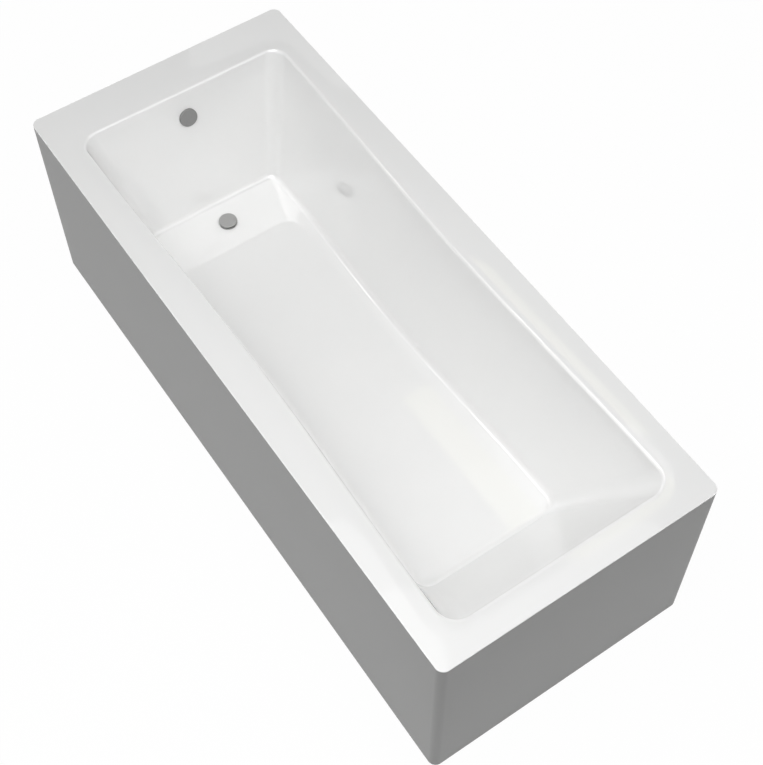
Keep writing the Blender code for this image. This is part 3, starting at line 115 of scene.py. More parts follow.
def outline(far, near, half_width, far_radius, near_radius, waist=0.0, corner=32, side=72, end=26):
    """Points and outward normals round a rounded rectangle, anticlockwise from the near end.

    A corner point is its centre plus the radius times (cos a, sin a). On a long side, at share s from -1 to
    1 of the straight, the point draws in by waist * (1 + cos(pi * s)) / 2. On an end, y runs evenly.
    """
    stretches = []

    def arc(centre_x, centre_y, radius, start):
        turn = start + np.linspace(0, math.pi / 2, corner + 1)
        normal = np.stack([np.cos(turn), np.sin(turn)], axis=1)
        stretches.append((np.array([centre_x, centre_y]) + radius * normal, normal))

    def long_side(direction):
        share = np.linspace(1, -1, side + 1)[1:-1]
        low = far + far_radius
        high = near - near_radius
        x = (low + high) / 2 + direction * share * (high - low) / 2
        y = direction * (half_width - waist * (1 + np.cos(math.pi * share)) / 2)
        stretches.append((np.stack([x, y], axis=1), np.tile([0.0, direction], (len(x), 1))))

    def short_side(x, radius, direction):
        y = direction * np.linspace(-1, 1, end + 1)[1:-1] * (half_width - radius)
        points = np.stack([np.full(len(y), x), y], axis=1)
        stretches.append((points, np.tile([direction, 0.0], (len(y), 1))))

    arc(near - near_radius, half_width - near_radius, near_radius, 0)
    long_side(1)
    arc(far + far_radius, half_width - far_radius, far_radius, math.pi / 2)
    short_side(far, far_radius, -1)
    arc(far + far_radius, far_radius - half_width, far_radius, math.pi)
    long_side(-1)
    arc(near - near_radius, near_radius - half_width, near_radius, math.pi * 3 / 2)
    short_side(near, near_radius, 1)
    return np.concatenate([s[0] for s in stretches]), np.concatenate([s[1] for s in stretches])


def outer_edge(**counts):
    """The outline of the bath's outer edge, which the deck and the skirt share."""
    return outline(-LENGTH / 2, LENGTH / 2, WIDTH / 2, OUTER_CORNER_RADIUS, OUTER_CORNER_RADIUS, **counts)


def unit(vectors):
    """Each vector divided by its length."""
    return vectors / np.linalg.norm(vectors, axis=-1, keepdims=True)


def round_over(start, corner_point, end, reach, spans):
    """Rings of an arc that rounds the corner between two directions, and starts and ends a reach from it.

    With half the corner's angle h, the ring a share s of the way is the rational blend of start, corner and
    end with weights (1-s)^2, 2s(1-s)sin(h) and s^2.
    """
    half = np.arccos(np.clip((start * end).sum(-1, keepdims=True), -1, 1)) / 2
    first = corner_point + start * reach
    last = corner_point + end * reach
    rings = []
    for share in np.linspace(0, 1, spans + 1):
        weights = ((1 - share) ** 2, 2 * share * (1 - share) * np.sin(half), share**2)
        blend = first * weights[0] + corner_point * weights[1] + last * weights[2]
        rings.append(blend / sum(weights))
    return rings


def between(first, last, shares):
    """Rings on the straight lines from one ring to another, at the given shares of the way."""
    return [first + (last - first) * share for share in shares]


def at_height(points, height):
    """Flat points lifted to a height, which is one number or one for each point."""
    return np.column_stack([points, np.broadcast_to(height, len(points))])


def in_place(points, place):
    """The points, given in a guide's own axes, in the axes of the bath."""
    matrix = np.array(place)
    return np.asarray(points) @ matrix[:3, :3].T + matrix[:3, 3]


def grid_piece(name, rings, place=None, closed_round=True, closed_along=False, capped=False):
    """A surface through a grid of points: rings[i][j] joins rings[i][j+1] and rings[i+1][j].

    Each cell of the grid is one four-sided face. Caps fill the first ring and the last with a face each.
    The points are in the axes of the bath, or of the guide whose place is given.
    """
    if place is not None:
        rings = [in_place(ring, place) for ring in rings]
    grid = np.asarray(rings, dtype=float)
    rows, columns = grid.shape[:2]
    index = np.arange(rows * columns).reshape(rows, columns)
    if closed_along:
        index = np.concatenate([index, index[:1]])
    if closed_round:
        index = np.concatenate([index, index[:, :1]], axis=1)
    faces = np.stack([index[:-1, :-1], index[:-1, 1:], index[1:, 1:], index[1:, :-1]], axis=-1)
    faces = faces.reshape(-1, 4).tolist()
    if capped:
        faces.append(list(range(columns))[::-1])
        faces.append(list(range((rows - 1) * columns, rows * columns)))
    mesh = bpy.data.meshes.new(name)
    mesh.from_pydata(grid.reshape(-1, 3).tolist(), [], faces)
    mesh.polygons.foreach_set("use_smooth", np.ones(len(faces), bool))
    mesh.update()
    mesh.set_sharp_from_angle(angle=ROUND_ANGLE)
    made = bpy.data.objects.new(name, mesh)
    bpy.context.scene.collection.objects.link(made)
    return made


def offset_back(rings, thickness):
    """The rings moved square to the surface, away from its shown face, by the thickness.

    The surface's normal is the cross product of its steps along the rings and across them.
    """
    grid = np.asarray(rings)
    across = np.gradient(grid, axis=0)
    round_step = np.roll(grid, -1, axis=1) - np.roll(grid, 1, axis=1)
    return list(grid - unit(np.cross(round_step, across)) * thickness)


def mark_back(made, shares, columns):
    """Stores on the mesh's points, ring by ring, 1 for a sheet's laid-up back and 0 for the rest."""
    layer = made.data.attributes.new("laid_back", "FLOAT", "POINT")
    layer.data.foreach_set("value", np.repeat(np.asarray(shares, dtype=np.float32), columns))


def full_turn(steps):
    """Evenly spaced angles once round."""
    return np.linspace(0, 2 * math.pi, steps, endpoint=False)


def circle(radius, height, angles):
    """(radius cos a, radius sin a, height) at each angle. Radius and height may differ with the angle."""
    return np.stack(
        [radius * np.cos(angles), radius * np.sin(angles), np.broadcast_to(height, angles.shape)], axis=1
    )


def tub_rings():
    """The shown face from the trimmed edge to the waste hole, as rings that all have the outline's points.

    The deck's border to the opening falls as the square of the way across it, and then rolls over. A wall
    is the straight line from the opening's outline to the floor's, rounded at its foot. The floor's lines
    run on to a circle round the waste, at the angle at which each starts.
    """
    edge, edge_normal = outer_edge()
    high, normal = outline(OPENING_FAR, OPENING_NEAR, OPENING_HALF_WIDTH, *OPENING_RADII, WAIST_DEPTH)
    low, _ = outline(FLOOR_FAR, FLOOR_NEAR, FLOOR_HALF_WIDTH, *FLOOR_RADII, WAIST_DEPTH)
    wall_top = at_height(high, HEIGHT)
    wall_foot = at_height(low, floor_height(low[:, 0]))
    outward = at_height(normal, 0.0)
    inward = unit(np.column_stack([-normal, -normal[:, 0] * FLOOR_SLOPE]))
    down = unit(wall_foot - wall_top)

    trim = [at_height(edge, HEIGHT - SHELL_THICKNESS + TRIM_RADIUS)]
    for turn in np.linspace(0, math.pi / 2, 6):
        inset = TRIM_RADIUS * (1 - math.cos(turn))
        rise = TRIM_RADIUS * (math.sin(turn) - 1)
        trim.append(at_height(edge - edge_normal * inset, HEIGHT + rise))

    slope = 2 * SHOULDER_DROP / (SHOULDER_REACH - RIM_ROLL_REACH)
    edge_point = wall_top - down * (SHOULDER_DROP + slope * RIM_ROLL_REACH) / down[:, 2:]
    roll = round_over(unit(outward + [0, 0, slope]), edge_point, down, RIM_ROLL_REACH, 20)
    shoulder = []
    for share in np.linspace(0, 1, 13)[:-1]:
        ring = edge_point + outward * (SHOULDER_REACH + (RIM_ROLL_REACH - SHOULDER_REACH) * share)
        ring[:, 2] = HEIGHT - SHOULDER_DROP * share**2
        shoulder.append(ring)
    deck = [*between(trim[-1], shoulder[0], DECK_SHARES), *shoulder]
    foot = round_over(-down, wall_foot, inward, FOOT_REACH, 14)
    wall = between(roll[-1], foot[0], WALL_SHARES)

    flat = in_place(foot[-1], WASTE_PLACE.inverted())
    angles = np.arctan2(flat[:, 1], flat[:, 0])
    seat_edge = [circle(WASTE_SEAT_RADIUS + past, level, angles) for past, level in WASTE_SEAT_EDGE]
    floor = between(flat, seat_edge[0], FLOOR_SHARES)
    seat = [
        *seat_edge[1:],
        circle(WASTE_SEAT_RADIUS, -WASTE_SEAT_DEPTH, angles),
        circle(WASTE_HOLE_RADIUS, -WASTE_SEAT_DEPTH, angles),
        circle(WASTE_HOLE_RADIUS, -SHELL_THICKNESS, angles),
    ]
    floor = [in_place(ring, WASTE_PLACE) for ring in floor]
    seat = [in_place(ring, WASTE_PLACE) for ring in seat]
    return trim, [*deck, *roll, *wall, *foot, *floor], seat


def make_tub():
    """The shown face, the seat and hole of the waste, and the back a sheet's thickness behind."""
    trim, face, seat = tub_rings()
    back = offset_back(face, SHELL_THICKNESS)
    under_edge = trim[-1] - np.array([0, 0, SHELL_THICKNESS])
    rings = [*trim, *face, *seat, *back[::-1], under_edge]
    tub = grid_piece("tub_moulding", rings, closed_along=True)
    shares = [0.0] * (len(trim) + len(face) + len(seat)) + [1.0] * (len(back) + 1)
    mark_back(tub, shares, len(rings[0]))
    return tub


def apply_modifiers(made):
    """Replaces the object's mesh by what its modifiers make of it."""
    graph = bpy.context.evaluated_depsgraph_get()
    mesh = bpy.data.meshes.new_from_object(made.evaluated_get(graph), depsgraph=graph)
    made.modifiers.clear()
    made.data = mesh
    mesh.set_sharp_from_angle(angle=ROUND_ANGLE)


def combine(made, operation, others):
    """Cuts the others out of the piece or joins them to it, and removes them."""
    for other in others:
        change = made.modifiers.new("combine", "BOOLEAN")
        change.operation = operation
        change.solver = "EXACT"
        change.object = other
    apply_modifiers(made)
    for other in others:
        bpy.data.objects.remove(other, do_unlink=True)


def rod_cutter(name, place, radius, top, bottom, steps=64):
    """A round cutter on a guide's axis, between two levels along it."""
    rings = [circle(radius, level, full_turn(steps)) for level in (bottom, top)]
    return grid_piece(name, rings, place, capped=True)


class Sum:
    """A socket of a node tree, so that sums on it read as Python."""

    def __init__(self, nodes, socket):
        self.nodes = nodes
        self.socket = socket

    def beside(self, output):
        """Another output of the same node."""
        return Sum(self.nodes, self.socket.node.outputs[output])

    def _with(self, operation, *values):
        return self.nodes.node("ShaderNodeMath", {"operation": operation}, values)

    def __add__(self, other):
        return self._with("ADD", self, other)

    def __sub__(self, other):
        return self._with("SUBTRACT", self, other)

    def __rsub__(self, other):
        return self._with("SUBTRACT", other, self)

    def __mul__(self, other):
        return self._with("MULTIPLY", self, other)

    def __gt__(self, other):
        return self._with("GREATER_THAN", self, other)

    __radd__ = __add__
    __rmul__ = __mul__


class Nodes:
    """A node tree under construction, of a material or of the studio's surroundings."""

    def __init__(self, tree):
        self.tree = tree

    def give(self, socket, value):
        """Links the socket to a sum's, or sets its colour or its number."""
        if isinstance(value, Sum):
            self.tree.links.new(value.socket, socket)
        elif socket.type == "RGBA":
            socket.default_value = (*value, 1.0)
        else:
            socket.default_value = value

    def node(self, kind, settings=None, values=(), output=0):
        """Adds a node: its settings first, then its sockets' values or links, by name or in order."""
        made = self.tree.nodes.new(kind)
        for key, value in (settings or {}).items():
            setattr(made, key, value)
        pairs = values.items() if isinstance(values, dict) else enumerate(values)
        for key, value in pairs:
            self.give(made.inputs[key], value)
        return Sum(self, made.outputs[output])

    def eased(self, value, low, high):
        """0 below low, 1 above high, and smooth between."""
        return self.node(
            "ShaderNodeMapRange", {"interpolation_type": "SMOOTHSTEP"},
            {"Value": value, "From Min": low, "From Max": high},
        )


class Finish(Nodes):
    """A material under construction: its principled shader and the nodes that vary it."""

    def __init__(self, name, colour, roughness, metallic=0.0, **constants):
        self.material = bpy.data.materials.new(name)
        self.material.use_nodes = True
        self.material.diffuse_color = (*colour, 1.0)
        super().__init__(self.material.node_tree)
        self.shader = self.tree.nodes["Principled BSDF"]
        self.set("Base Color", colour)
        self.set("Roughness", roughness)
        self.set("Metallic", metallic)
        for socket, value in constants.items():
            self.set(socket, value)

    def set(self, name, value):
        self.give(self.shader.inputs[name], value)

    def place(self, to_metre, stretch=(1.0, 1.0, 1.0)):
        """The object's own coordinates, with so many units to the metre, stretched along its axes."""
        own = self.node("ShaderNodeTexCoord", output="Object")
        sizes = tuple(to_metre * share for share in stretch)
        return self.node("ShaderNodeMapping", {"vector_type": "POINT"}, {"Vector": own, "Scale": sizes})

    def _place(self, at):
        """A place as it is, or the object's own with so many units to the metre."""
        return at if isinstance(at, Sum) else self.place(at)

    def noise(self, at, detail=3.0, roughness=0.5, distortion=0.0):
        """Soft cloudy noise between 0 and 1: one cloud to each unit, or so many to the metre."""
        values = {"Detail": detail, "Roughness": roughness, "Distortion": distortion}
        return self.node(
            "ShaderNodeTexNoise", {"noise_dimensions": "3D"},
            {"Vector": self._place(at), "Scale": 1.0, **values},
        )

    def cells(self, at):
        """A random number from 0 to 1 for each cell of a crazy paving, sized as the clouds of noise."""
        values = {"Vector": self._place(at), "Scale": 1.0}
        colour = self.node("ShaderNodeTexVoronoi", {}, values, output="Color")
        return self.node("ShaderNodeSeparateColor", {}, [colour])

    def on_back(self):
        """1 on a sheet's laid-up back and 0 on its shown face."""
        return self.node("ShaderNodeAttribute", {"attribute_name": "laid_back"}, output="Fac")

    def tint(self, share, first, second):
        """The first colour where the share is 0, and the second where it is 1."""
        return self.node("ShaderNodeMix", {"data_type": "RGBA"}, {0: share, 6: first, 7: second}, output=2)

    def level(self, share, first, second):
        """The number first where the share is 0, and second where it is 1."""
        return first + share * (second - first)

    def vary(self, colour, roughness, height, depth):
        """Sets the colour, the roughness, and bumps of a height from 0 to 1 times a depth in metres."""
        self.set("Base Color", colour)
        self.set("Roughness", roughness)
        self.set("Normal", self.node("ShaderNodeBump", {}, {"Height": height, "Distance": depth}))
        return self


def paint(made, finish, body="tub_and_frame", replaced=()):
    """Gives a new piece its finish, hangs it on the body that it rides on, and hides the imported solids it
    stands in for.
    """
    made.data.materials.clear()
    made.data.materials.append(finish.material)
    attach(made, body)
    if replaced:
        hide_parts(*replaced)


def acrylic_finish():
    """Polished white acrylic with a faint orange peel, and fibres in resin on its back."""
    finish = Finish("white_acrylic", ACRYLIC_WHITES[0], 0.03, IOR=ACRYLIC_IOR)
    back = finish.on_back()
    front = finish.tint(finish.noise(7.0, 2.0), *ACRYLIC_WHITES)
    strands = finish.noise(finish.place(FIBRES_TO_METRE, FIBRE_STRETCH), *FIBRE_STRANDS)
    patches = finish.eased(finish.noise(18.0), 0.35, 0.7)
    laid = finish.tint(patches, finish.tint(strands, *FIBRE_COLOURS), RESIN_COLOUR)
    polish = finish.level(finish.noise(34.0, 4.0), *ACRYLIC_POLISH)
    peel = finish.noise(190.0, 1.0)
    return finish.vary(
        finish.tint(back, front, laid), finish.level(back, polish, FIBRE_ROUGHNESS),
        peel * (1 - back) * PEEL_SHARE + strands * back, FIBRE_DEPTH,
    )


tub_moulding = make_tub()
overflow_hole = rod_cutter(
    "overflow_hole", OVERFLOW_PLACE, OVERFLOW_HOLE_RADIUS, HOLE_OVERRUN, -SHELL_THICKNESS - HOLE_OVERRUN
)
combine(tub_moulding, "DIFFERENCE", [overflow_hole])
paint(tub_moulding, acrylic_finish(), replaced=["tub_shell"])


# The base board: sealed chipboard bonded flat under the floor, which spreads the bather's weight on the
# legs. It is pressed from wood chips and resin, and brushed with resin when the glass-fibre is laid.

WOOD_COLOURS = ((0.62, 0.49, 0.33), (0.40, 0.29, 0.18))
PALE_CHIP = (0.74, 0.62, 0.44)
CHIP_STRETCH = (1.0, 2.2, 2.2)
CHIP_RELIEF = 0.0003


def repaint(finish, names):
    """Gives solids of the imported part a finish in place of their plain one."""
    for name in names:
        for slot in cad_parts[name].material_slots:
            slot.material = finish.material


def board_finish():
    """Chips of several browns under a thin sealing coat."""
    finish = Finish("sealed_chipboard", WOOD_COLOURS[0], 0.7)
    chips = finish.cells(finish.place(150.0, CHIP_STRETCH))
    dark = finish.noise(60.0, 4.0, 0.6)
    colour = finish.tint(chips * 0.5, finish.tint(dark, *WOOD_COLOURS), PALE_CHIP)
    return finish.vary(colour, finish.level(dark, 0.5, 0.8), chips, CHIP_RELIEF)


repaint(board_finish(), ["base_board"])


# The cross legs: three channels folded from zinc-plated steel sheet, each with a weld nut near either end.
# Pan-head screws hold them up to the board.

LEG_LABELS = ("waste_end", "middle", "head_end")
CORNER_LABELS = [f"{leg}_{side}" for leg in LEG_LABELS for side in ("left", "right")]
ZINC_COLOURS = ((0.66, 0.67, 0.69), (0.56, 0.57, 0.60))
ZINC_BLOOM = (0.72, 0.72, 0.71)
ZINC_RELIEF = 0.0001


def zinc_look(finish):
    """Crystals of near greys under a cloudy bloom: gives their colour, their roughness and the bloom."""
    crystals = finish.cells(120.0)
    bloom = finish.noise(22.0, 4.0, 0.6)
    colour = finish.tint(finish.eased(bloom, 0.45, 0.75), finish.tint(crystals, *ZINC_COLOURS), ZINC_BLOOM)
    return colour, finish.level(bloom, 0.30, 0.52) + crystals * 0.05, bloom


ZINC = Finish("zinc_steel", ZINC_COLOURS[0], 0.4, 1.0)
ZINC.vary(*zinc_look(ZINC), ZINC_RELIEF)
repaint(ZINC, [f"cross_leg_{leg}" for leg in LEG_LABELS])
repaint(ZINC, [f"board_screw_{corner}" for corner in CORNER_LABELS])


# The levelling feet: a black nylon pad with a ribbed grip, moulded on a zinc-plated stud. The stud's thread
# runs up through the leg's weld nut, so that each corner of the bath is levelled by turning its pad.

AXIS_DISC_RADIUS = 0.00002
PAD_RADIUS = 0.025
PAD_HEIGHT = 0.016
PAD_NECK_RADIUS = 0.0115
GRIP_RIBS = 30
GRIP_DEPTH = 0.0007
STUD_RADIUS = 0.005
THREAD_PITCH = 0.002
THREAD_DEPTH = 0.0006
THREAD_ROWS = 8
PAD_PROFILE = (  # radius, height, share of the ribs' depth
    (AXIS_DISC_RADIUS, 0, 0), (PAD_RADIUS * 0.6, 0, 0), (PAD_RADIUS - 0.0022, 0, 0),
    (PAD_RADIUS - 0.0008, 0.0003, 0), (PAD_RADIUS, 0.0010, 1), (PAD_RADIUS, 0.0038, 1),
    (PAD_RADIUS - 0.0004, 0.0047, 1), (PAD_RADIUS - 0.0016, 0.0055, 0.4), (PAD_RADIUS - 0.0035, 0.0061, 0),
    (0.0165, 0.0079, 0), (0.0143, 0.0086, 0), (0.0133, 0.0094, 0), (0.0126, 0.0112, 0), (0.0119, 0.0142, 0),
    (PAD_NECK_RADIUS, 0.0152, 0), (PAD_NECK_RADIUS - 0.0007, 0.0159, 0),
    (PAD_NECK_RADIUS - 0.0015, PAD_HEIGHT, 0), (STUD_RADIUS + 0.0006, PAD_HEIGHT, 0),
)
STUD_FOOT = PAD_HEIGHT - 0.0001
NYLON_COLOURS = ((0.030, 0.030, 0.032), (0.050, 0.050, 0.052))
NYLON_GRAIN = 0.0001


def upright_box(name):
    """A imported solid's lowest and highest level, and the point on the ground below its middle."""
    low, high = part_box(name)
    return low[2], high[2], ((low[0] + high[0]) / 2, (low[1] + high[1]) / 2, 0)


def make_foot(corner):
    """The pad is a profile turned round the foot's axis, with ribs that draw its side in and out.

    The rib's radius falls by the depth times (1 - |cos(ribs * a / 2)|). On the stud, the radius falls by
    the depth times a wave between 0 and 1, of the height over the pitch less the angle over a full turn.
    """
    _, top, centre = upright_box(f"levelling_foot_{corner}")
    angles = full_turn(GRIP_RIBS * 4)
    groove = 1 - np.abs(np.cos(GRIP_RIBS * angles / 2))
    rings = [
        circle(radius - GRIP_DEPTH * share * groove, level, angles) for radius, level, share in PAD_PROFILE
    ]
    turns = (top - PAD_HEIGHT) / THREAD_PITCH
    for step in np.arange(0, turns, 1 / THREAD_ROWS):
        height = PAD_HEIGHT + step * THREAD_PITCH
        wave = (1 + np.cos(2 * math.pi * (step - angles / (2 * math.pi)))) / 2
        ends = min(1.0, step, turns - step)
        rings.append(circle(STUD_RADIUS - THREAD_DEPTH * (1 - ends * (1 - wave)), height, angles))
    rings += [circle(radius, top, angles) for radius in (STUD_RADIUS - 2 * THREAD_DEPTH, AXIS_DISC_RADIUS)]
    return grid_piece(f"threaded_foot_{corner}", [ring + centre for ring in rings], capped=True)


def foot_finish():
    """Grained black nylon up to the pad's top, and plated steel above it."""
    finish = Finish("foot_nylon_and_zinc", NYLON_COLOURS[0], 0.5)
    own = finish.node("ShaderNodeTexCoord", output="Object")
    stud = finish.node("ShaderNodeSeparateXYZ", {}, [own], output="Z") > STUD_FOOT
    grain = finish.noise(900.0, 2.0)
    zinc_colour, zinc_rough, _ = zinc_look(finish)
    finish.set("Metallic", stud)
    return finish.vary(
        finish.tint(stud, finish.tint(grain, *NYLON_COLOURS), zinc_colour),
        finish.level(stud, finish.level(grain, 0.42, 0.58), zinc_rough),
        grain * (1 - stud), NYLON_GRAIN,
    )


FOOT_FINISH = foot_finish()
for corner in CORNER_LABELS:
    paint(
        make_foot(corner), FOOT_FINISH, f"foot_{corner}", [f"levelling_foot_{corner}"]
    )


# The lock nuts: a hexagon nut run up each stud against the weld nut once the bath is level. Its corners are
# turned off to a cone, and its bore is drawn plain with a chamfer at either face.

NUT_ACROSS_FLATS = 0.017
NUT_BORE_RADIUS = 0.0054
NUT_BORE_CHAMFER = 0.0006
NUT_FACE_SHARE = 0.97
NUT_CONE_RISE = 0.0011


def make_lock_nut(corner):
    """At angle a the hexagon's radius is half its flats over cos(a), taken from the nearest flat's middle.

    Near either face, no radius is larger than a cone's that grows from inside the flats to the corners.
    """
    bottom, top, centre = upright_box(f"lock_nut_{corner}")
    angles = full_turn(72)
    from_flat = (angles + math.pi / 6) % (math.pi / 3) - math.pi / 6
    hexagon = NUT_ACROSS_FLATS / 2 / np.cos(from_flat)
    start = NUT_ACROSS_FLATS / 2 * NUT_FACE_SHARE
    cone = [
        (np.minimum(hexagon, start + (hexagon.max() - start) * share), NUT_CONE_RISE * share)
        for share in np.linspace(0, 1, 7)
    ]
    profile = [
        (NUT_BORE_RADIUS + NUT_BORE_CHAMFER, bottom), *[(reach, bottom + rise) for reach, rise in cone],
        *[(reach, top - rise) for reach, rise in cone[::-1]], (NUT_BORE_RADIUS + NUT_BORE_CHAMFER, top),
        (NUT_BORE_RADIUS, top - NUT_BORE_CHAMFER), (NUT_BORE_RADIUS, bottom + NUT_BORE_CHAMFER),
    ]
    rings = [circle(reach, height, angles) + centre for reach, height in profile]
    return grid_piece(f"hex_nut_{corner}", rings, closed_along=True)


for corner in CORNER_LABELS:
    paint(make_lock_nut(corner), ZINC, replaced=[f"lock_nut_{corner}"])


# The rim supports: a square tube welded on a foot plate, stood on each end of each leg to carry the deck.
# One screw holds the plate to the leg, and its turned-up tab bears on the skirt.

repaint(ZINC, [f"rim_support_{corner}" for corner in CORNER_LABELS])
repaint(ZINC, [f"support_screw_{corner}" for corner in CORNER_LABELS])


# The outer skirt: one wall of acrylic sheet wrapped round the bath, warmed and bent at its four
# corners. A flange turned in along its top carries the deck, and one along its foot stiffens it just off
# the ground. Its flat grey is painted shade: the upright sides are coloured as dark as they fall in shade
# under light from above.

SKIRT_WALL = 0.004
SKIRT_TOP_FLANGE = 0.014
SKIRT_BOTTOM_FLANGE = 0.012
SKIRT_FLOOR_GAP = 0.004
SKIRT_EDGE_RADIUS = 0.0016
SKIRT_MARGIN = 0.01
SEAT_GAP = 0.0003
# The skirt's greys are painted shade: its upright sides coloured as dark as they fall in shade from the
# overhead light.
SKIRT_PAINTED_SHADE_GREYS = ((0.253, 0.253, 0.250), (0.245, 0.246, 0.243))
SKIRT_SHEEN = (0.34, 0.42)
SKIRT_IOR = 1.42
SKIRT_GRAIN_SHARE = 0.03
SKIRT_BACK_ROUGHNESS = 0.65
SKIRT_BACK_DEPTH = 0.0010


def quarter_round(radius):
    """Pairs of radius * (1 - cos a) and radius * (1 - sin a) over a quarter turn."""
    turns = np.linspace(0, math.pi / 2, 7)
    return [(radius * (1 - math.cos(a)), radius * (1 - math.sin(a))) for a in turns]


def make_skirt():
    """A C-shaped section carried round the outline, with a quarter round at each of its outer corners.

    The section's points are (inset from the outline, height); each ring is the outline drawn in by the
    inset along its normals.
    """
    top = HEIGHT - SHELL_THICKNESS - SEAT_GAP
    foot = SKIRT_FLOOR_GAP
    radius = SKIRT_EDGE_RADIUS
    section = [(SKIRT_TOP_FLANGE, top), (radius * 3, top), (radius * 1.2, top)]
    section += [(inset, top - drop) for drop, inset in quarter_round(radius)]
    section += [(0, top - radius * 1.3)]
    section += [(0, height) for height in np.linspace(top - SKIRT_MARGIN, foot + SKIRT_MARGIN, 12)]
    section += [(0, foot + radius * 1.3)]
    section += [(inset, foot + rise) for inset, rise in quarter_round(radius)]
    section += [(radius * 1.2, foot), (SKIRT_BOTTOM_FLANGE, foot)]
    section += [(SKIRT_BOTTOM_FLANGE, foot + SKIRT_WALL), (SKIRT_WALL, foot + SKIRT_WALL)]
    section += [(SKIRT_WALL, height) for height in np.linspace(foot + SKIRT_MARGIN, top - SKIRT_MARGIN, 8)]
    section += [(SKIRT_WALL, top - SKIRT_WALL), (SKIRT_TOP_FLANGE, top - SKIRT_WALL)]
    points, normal = outer_edge(corner=18, side=24, end=12)
    rings = [at_height(points - normal * inset, height) for inset, height in section]
    skirt = grid_piece("wrap_skirt", rings, closed_along=True)
    inner = [1.0 if inset >= SKIRT_WALL and foot < height < top else 0.0 for inset, height in section]
    mark_back(skirt, inner, len(points))
    return skirt


def skirt_finish():
    """Acrylic with a soft sheen and a flat grey of painted shade, and resin and fibres on its back."""
    finish = Finish("grey_acrylic", SKIRT_PAINTED_SHADE_GREYS[0], 0.38, IOR=SKIRT_IOR)
    back = finish.on_back()
    front = finish.tint(finish.noise(5.0), *SKIRT_PAINTED_SHADE_GREYS)
    strands = finish.noise(FIBRES_TO_METRE, *FIBRE_STRANDS)
    grain = finish.noise(420.0)
    return finish.vary(
        finish.tint(back, front, finish.tint(strands, *FIBRE_COLOURS)),
        finish.level(back, finish.level(grain, *SKIRT_SHEEN), SKIRT_BACK_ROUGHNESS),
        grain * (1 - back) * SKIRT_GRAIN_SHARE + strands * back, SKIRT_BACK_DEPTH,
    )


paint(make_skirt(), skirt_finish(), replaced=["outer_skirt"])


# The waste's upper pieces: a plated brass flange let into the floor's seat on a rubber seal. Its threaded
# tail passes the hole, and three spokes across it carry the boss for the plug's cartridge.

WASTE_METAL = ((0.49, 0.49, 0.486), (0.45, 0.45, 0.447))
METAL_WEAR = 90.0
METAL_SATIN = (0.50, 0.64)
LATHE_RINGS = 5200.0
LATHE_DEPTH = 0.00002
RUBBER_BLACK = (0.03, 0.03, 0.03)
RUBBER_GREYS = ((0.022, 0.022, 0.023), (0.07, 0.07, 0.07))
RUBBER_RELIEF = 0.0001


def satin_finish(name, place, colours):
    """Satin plated metal, turned on a lathe: fine rings round the piece's axis break up its gloss."""
    finish = Finish(name, colours[0], 0.57, 1.0)
    own = finish.node("ShaderNodeTexCoord", output="Object")
    moved = finish.node("ShaderNodeVectorMath", {"operation": "SUBTRACT"}, [own, tuple(place.translation)])
    level = finish.node(
        "ShaderNodeVectorRotate", {"rotation_type": "AXIS_ANGLE"},
        {"Vector": moved, "Axis": (0, 1, 0), "Angle": -place.to_euler().y},
    )
    x = finish.node("ShaderNodeSeparateXYZ", {}, [level])
    y = x.beside("Y")
    reach = finish.node("ShaderNodeMath", {"operation": "SQRT"}, [x * x + y * y])
    rings = finish.noise(finish.node("ShaderNodeCombineXYZ", {}, [reach * LATHE_RINGS]), 2.0, 0.7)
    wear = finish.noise(METAL_WEAR)
    return finish.vary(finish.tint(wear, *colours), finish.level(rings, *METAL_SATIN), rings, LATHE_DEPTH)


def rubber_finish():
    """Black rubber with a grey bloom and a dusting of talc."""
    finish = Finish("black_rubber", RUBBER_BLACK, 0.85)
    bloom = finish.noise(160.0, 4.0, 0.6)
    colour = finish.tint(finish.eased(bloom, 0.5, 0.8), *RUBBER_GREYS)
    return finish.vary(colour, finish.level(bloom, 0.72, 0.9), bloom, RUBBER_RELIEF)


repaint(satin_finish("flange_metal", WASTE_PLACE, WASTE_METAL), ["waste_flange"])
RUBBER = rubber_finish()
repaint(RUBBER, ["flange_seal", "floor_washer"])


# The waste body: a sleeve moulded in white polypropylene, drawn up to the floor by the flange's tail. It
# has a collar under the floor washer, a barbed inlet at its side for the overflow hose, and a thread at
# its foot.

BODY_TOP = -0.0086
BODY_COLLAR_RADIUS = 0.034
BODY_COLLAR_THICKNESS = 0.004
BODY_RADIUS = 0.0239
BODY_BORE_RADIUS = 0.0199
BODY_BOTTOM = -0.0666
BODY_CHAMFER = 0.0008
BODY_FILLET = ((0, 0.0030), (0.0004, 0.0014), (0.0014, 0.0004), (0.0030, 0))  # out, and below the collar
BODY_THREAD_TOP = -0.050
BODY_THREAD_DEPTH = 0.0005
MOULDED_ROUND = ((0.0010, 0), (0.0003, 0.0003), (0, 0.0010))  # in from the side, and off the face
INLET_LEVEL = -0.0426
INLET_ROOT = 0.001
INLET_RADIUS = 0.0125
INLET_BORE_RADIUS = 0.0100
INLET_SHANK = 0.0425
INLET_REACH = 0.062
INLET_TIP = ((0.0007, 0.0004), (0.0012, 0))  # in from the side, and back from the end
INLET_PLACE = (
    WASTE_PLACE @ Matrix.Translation((0, 0, INLET_LEVEL)) @ Matrix.Rotation(-math.pi / 2, 4, "Y")
)
BARB_START = 0.044
BARB_STOP = INLET_REACH - 0.003
BARB_SPACING = 0.0045
BARB_DEPTH = 0.0007
BARB_RISE = 0.0006
BORE_OVERRUN = 0.002
PLASTIC_GRAIN = 0.00006


def turned_piece(name, profile, place, steps=120):
    """A turned surface: each point (radius, height) of the profile is carried round the guide's axis.

    The angle runs once round. The profile starts and ends on the axis, and closes there in a small disc.
    """
    angles = full_turn(steps)
    rings = [circle(max(radius, AXIS_DISC_RADIUS), height, angles) for radius, height in profile]
    return grid_piece(name, rings, place, capped=True)


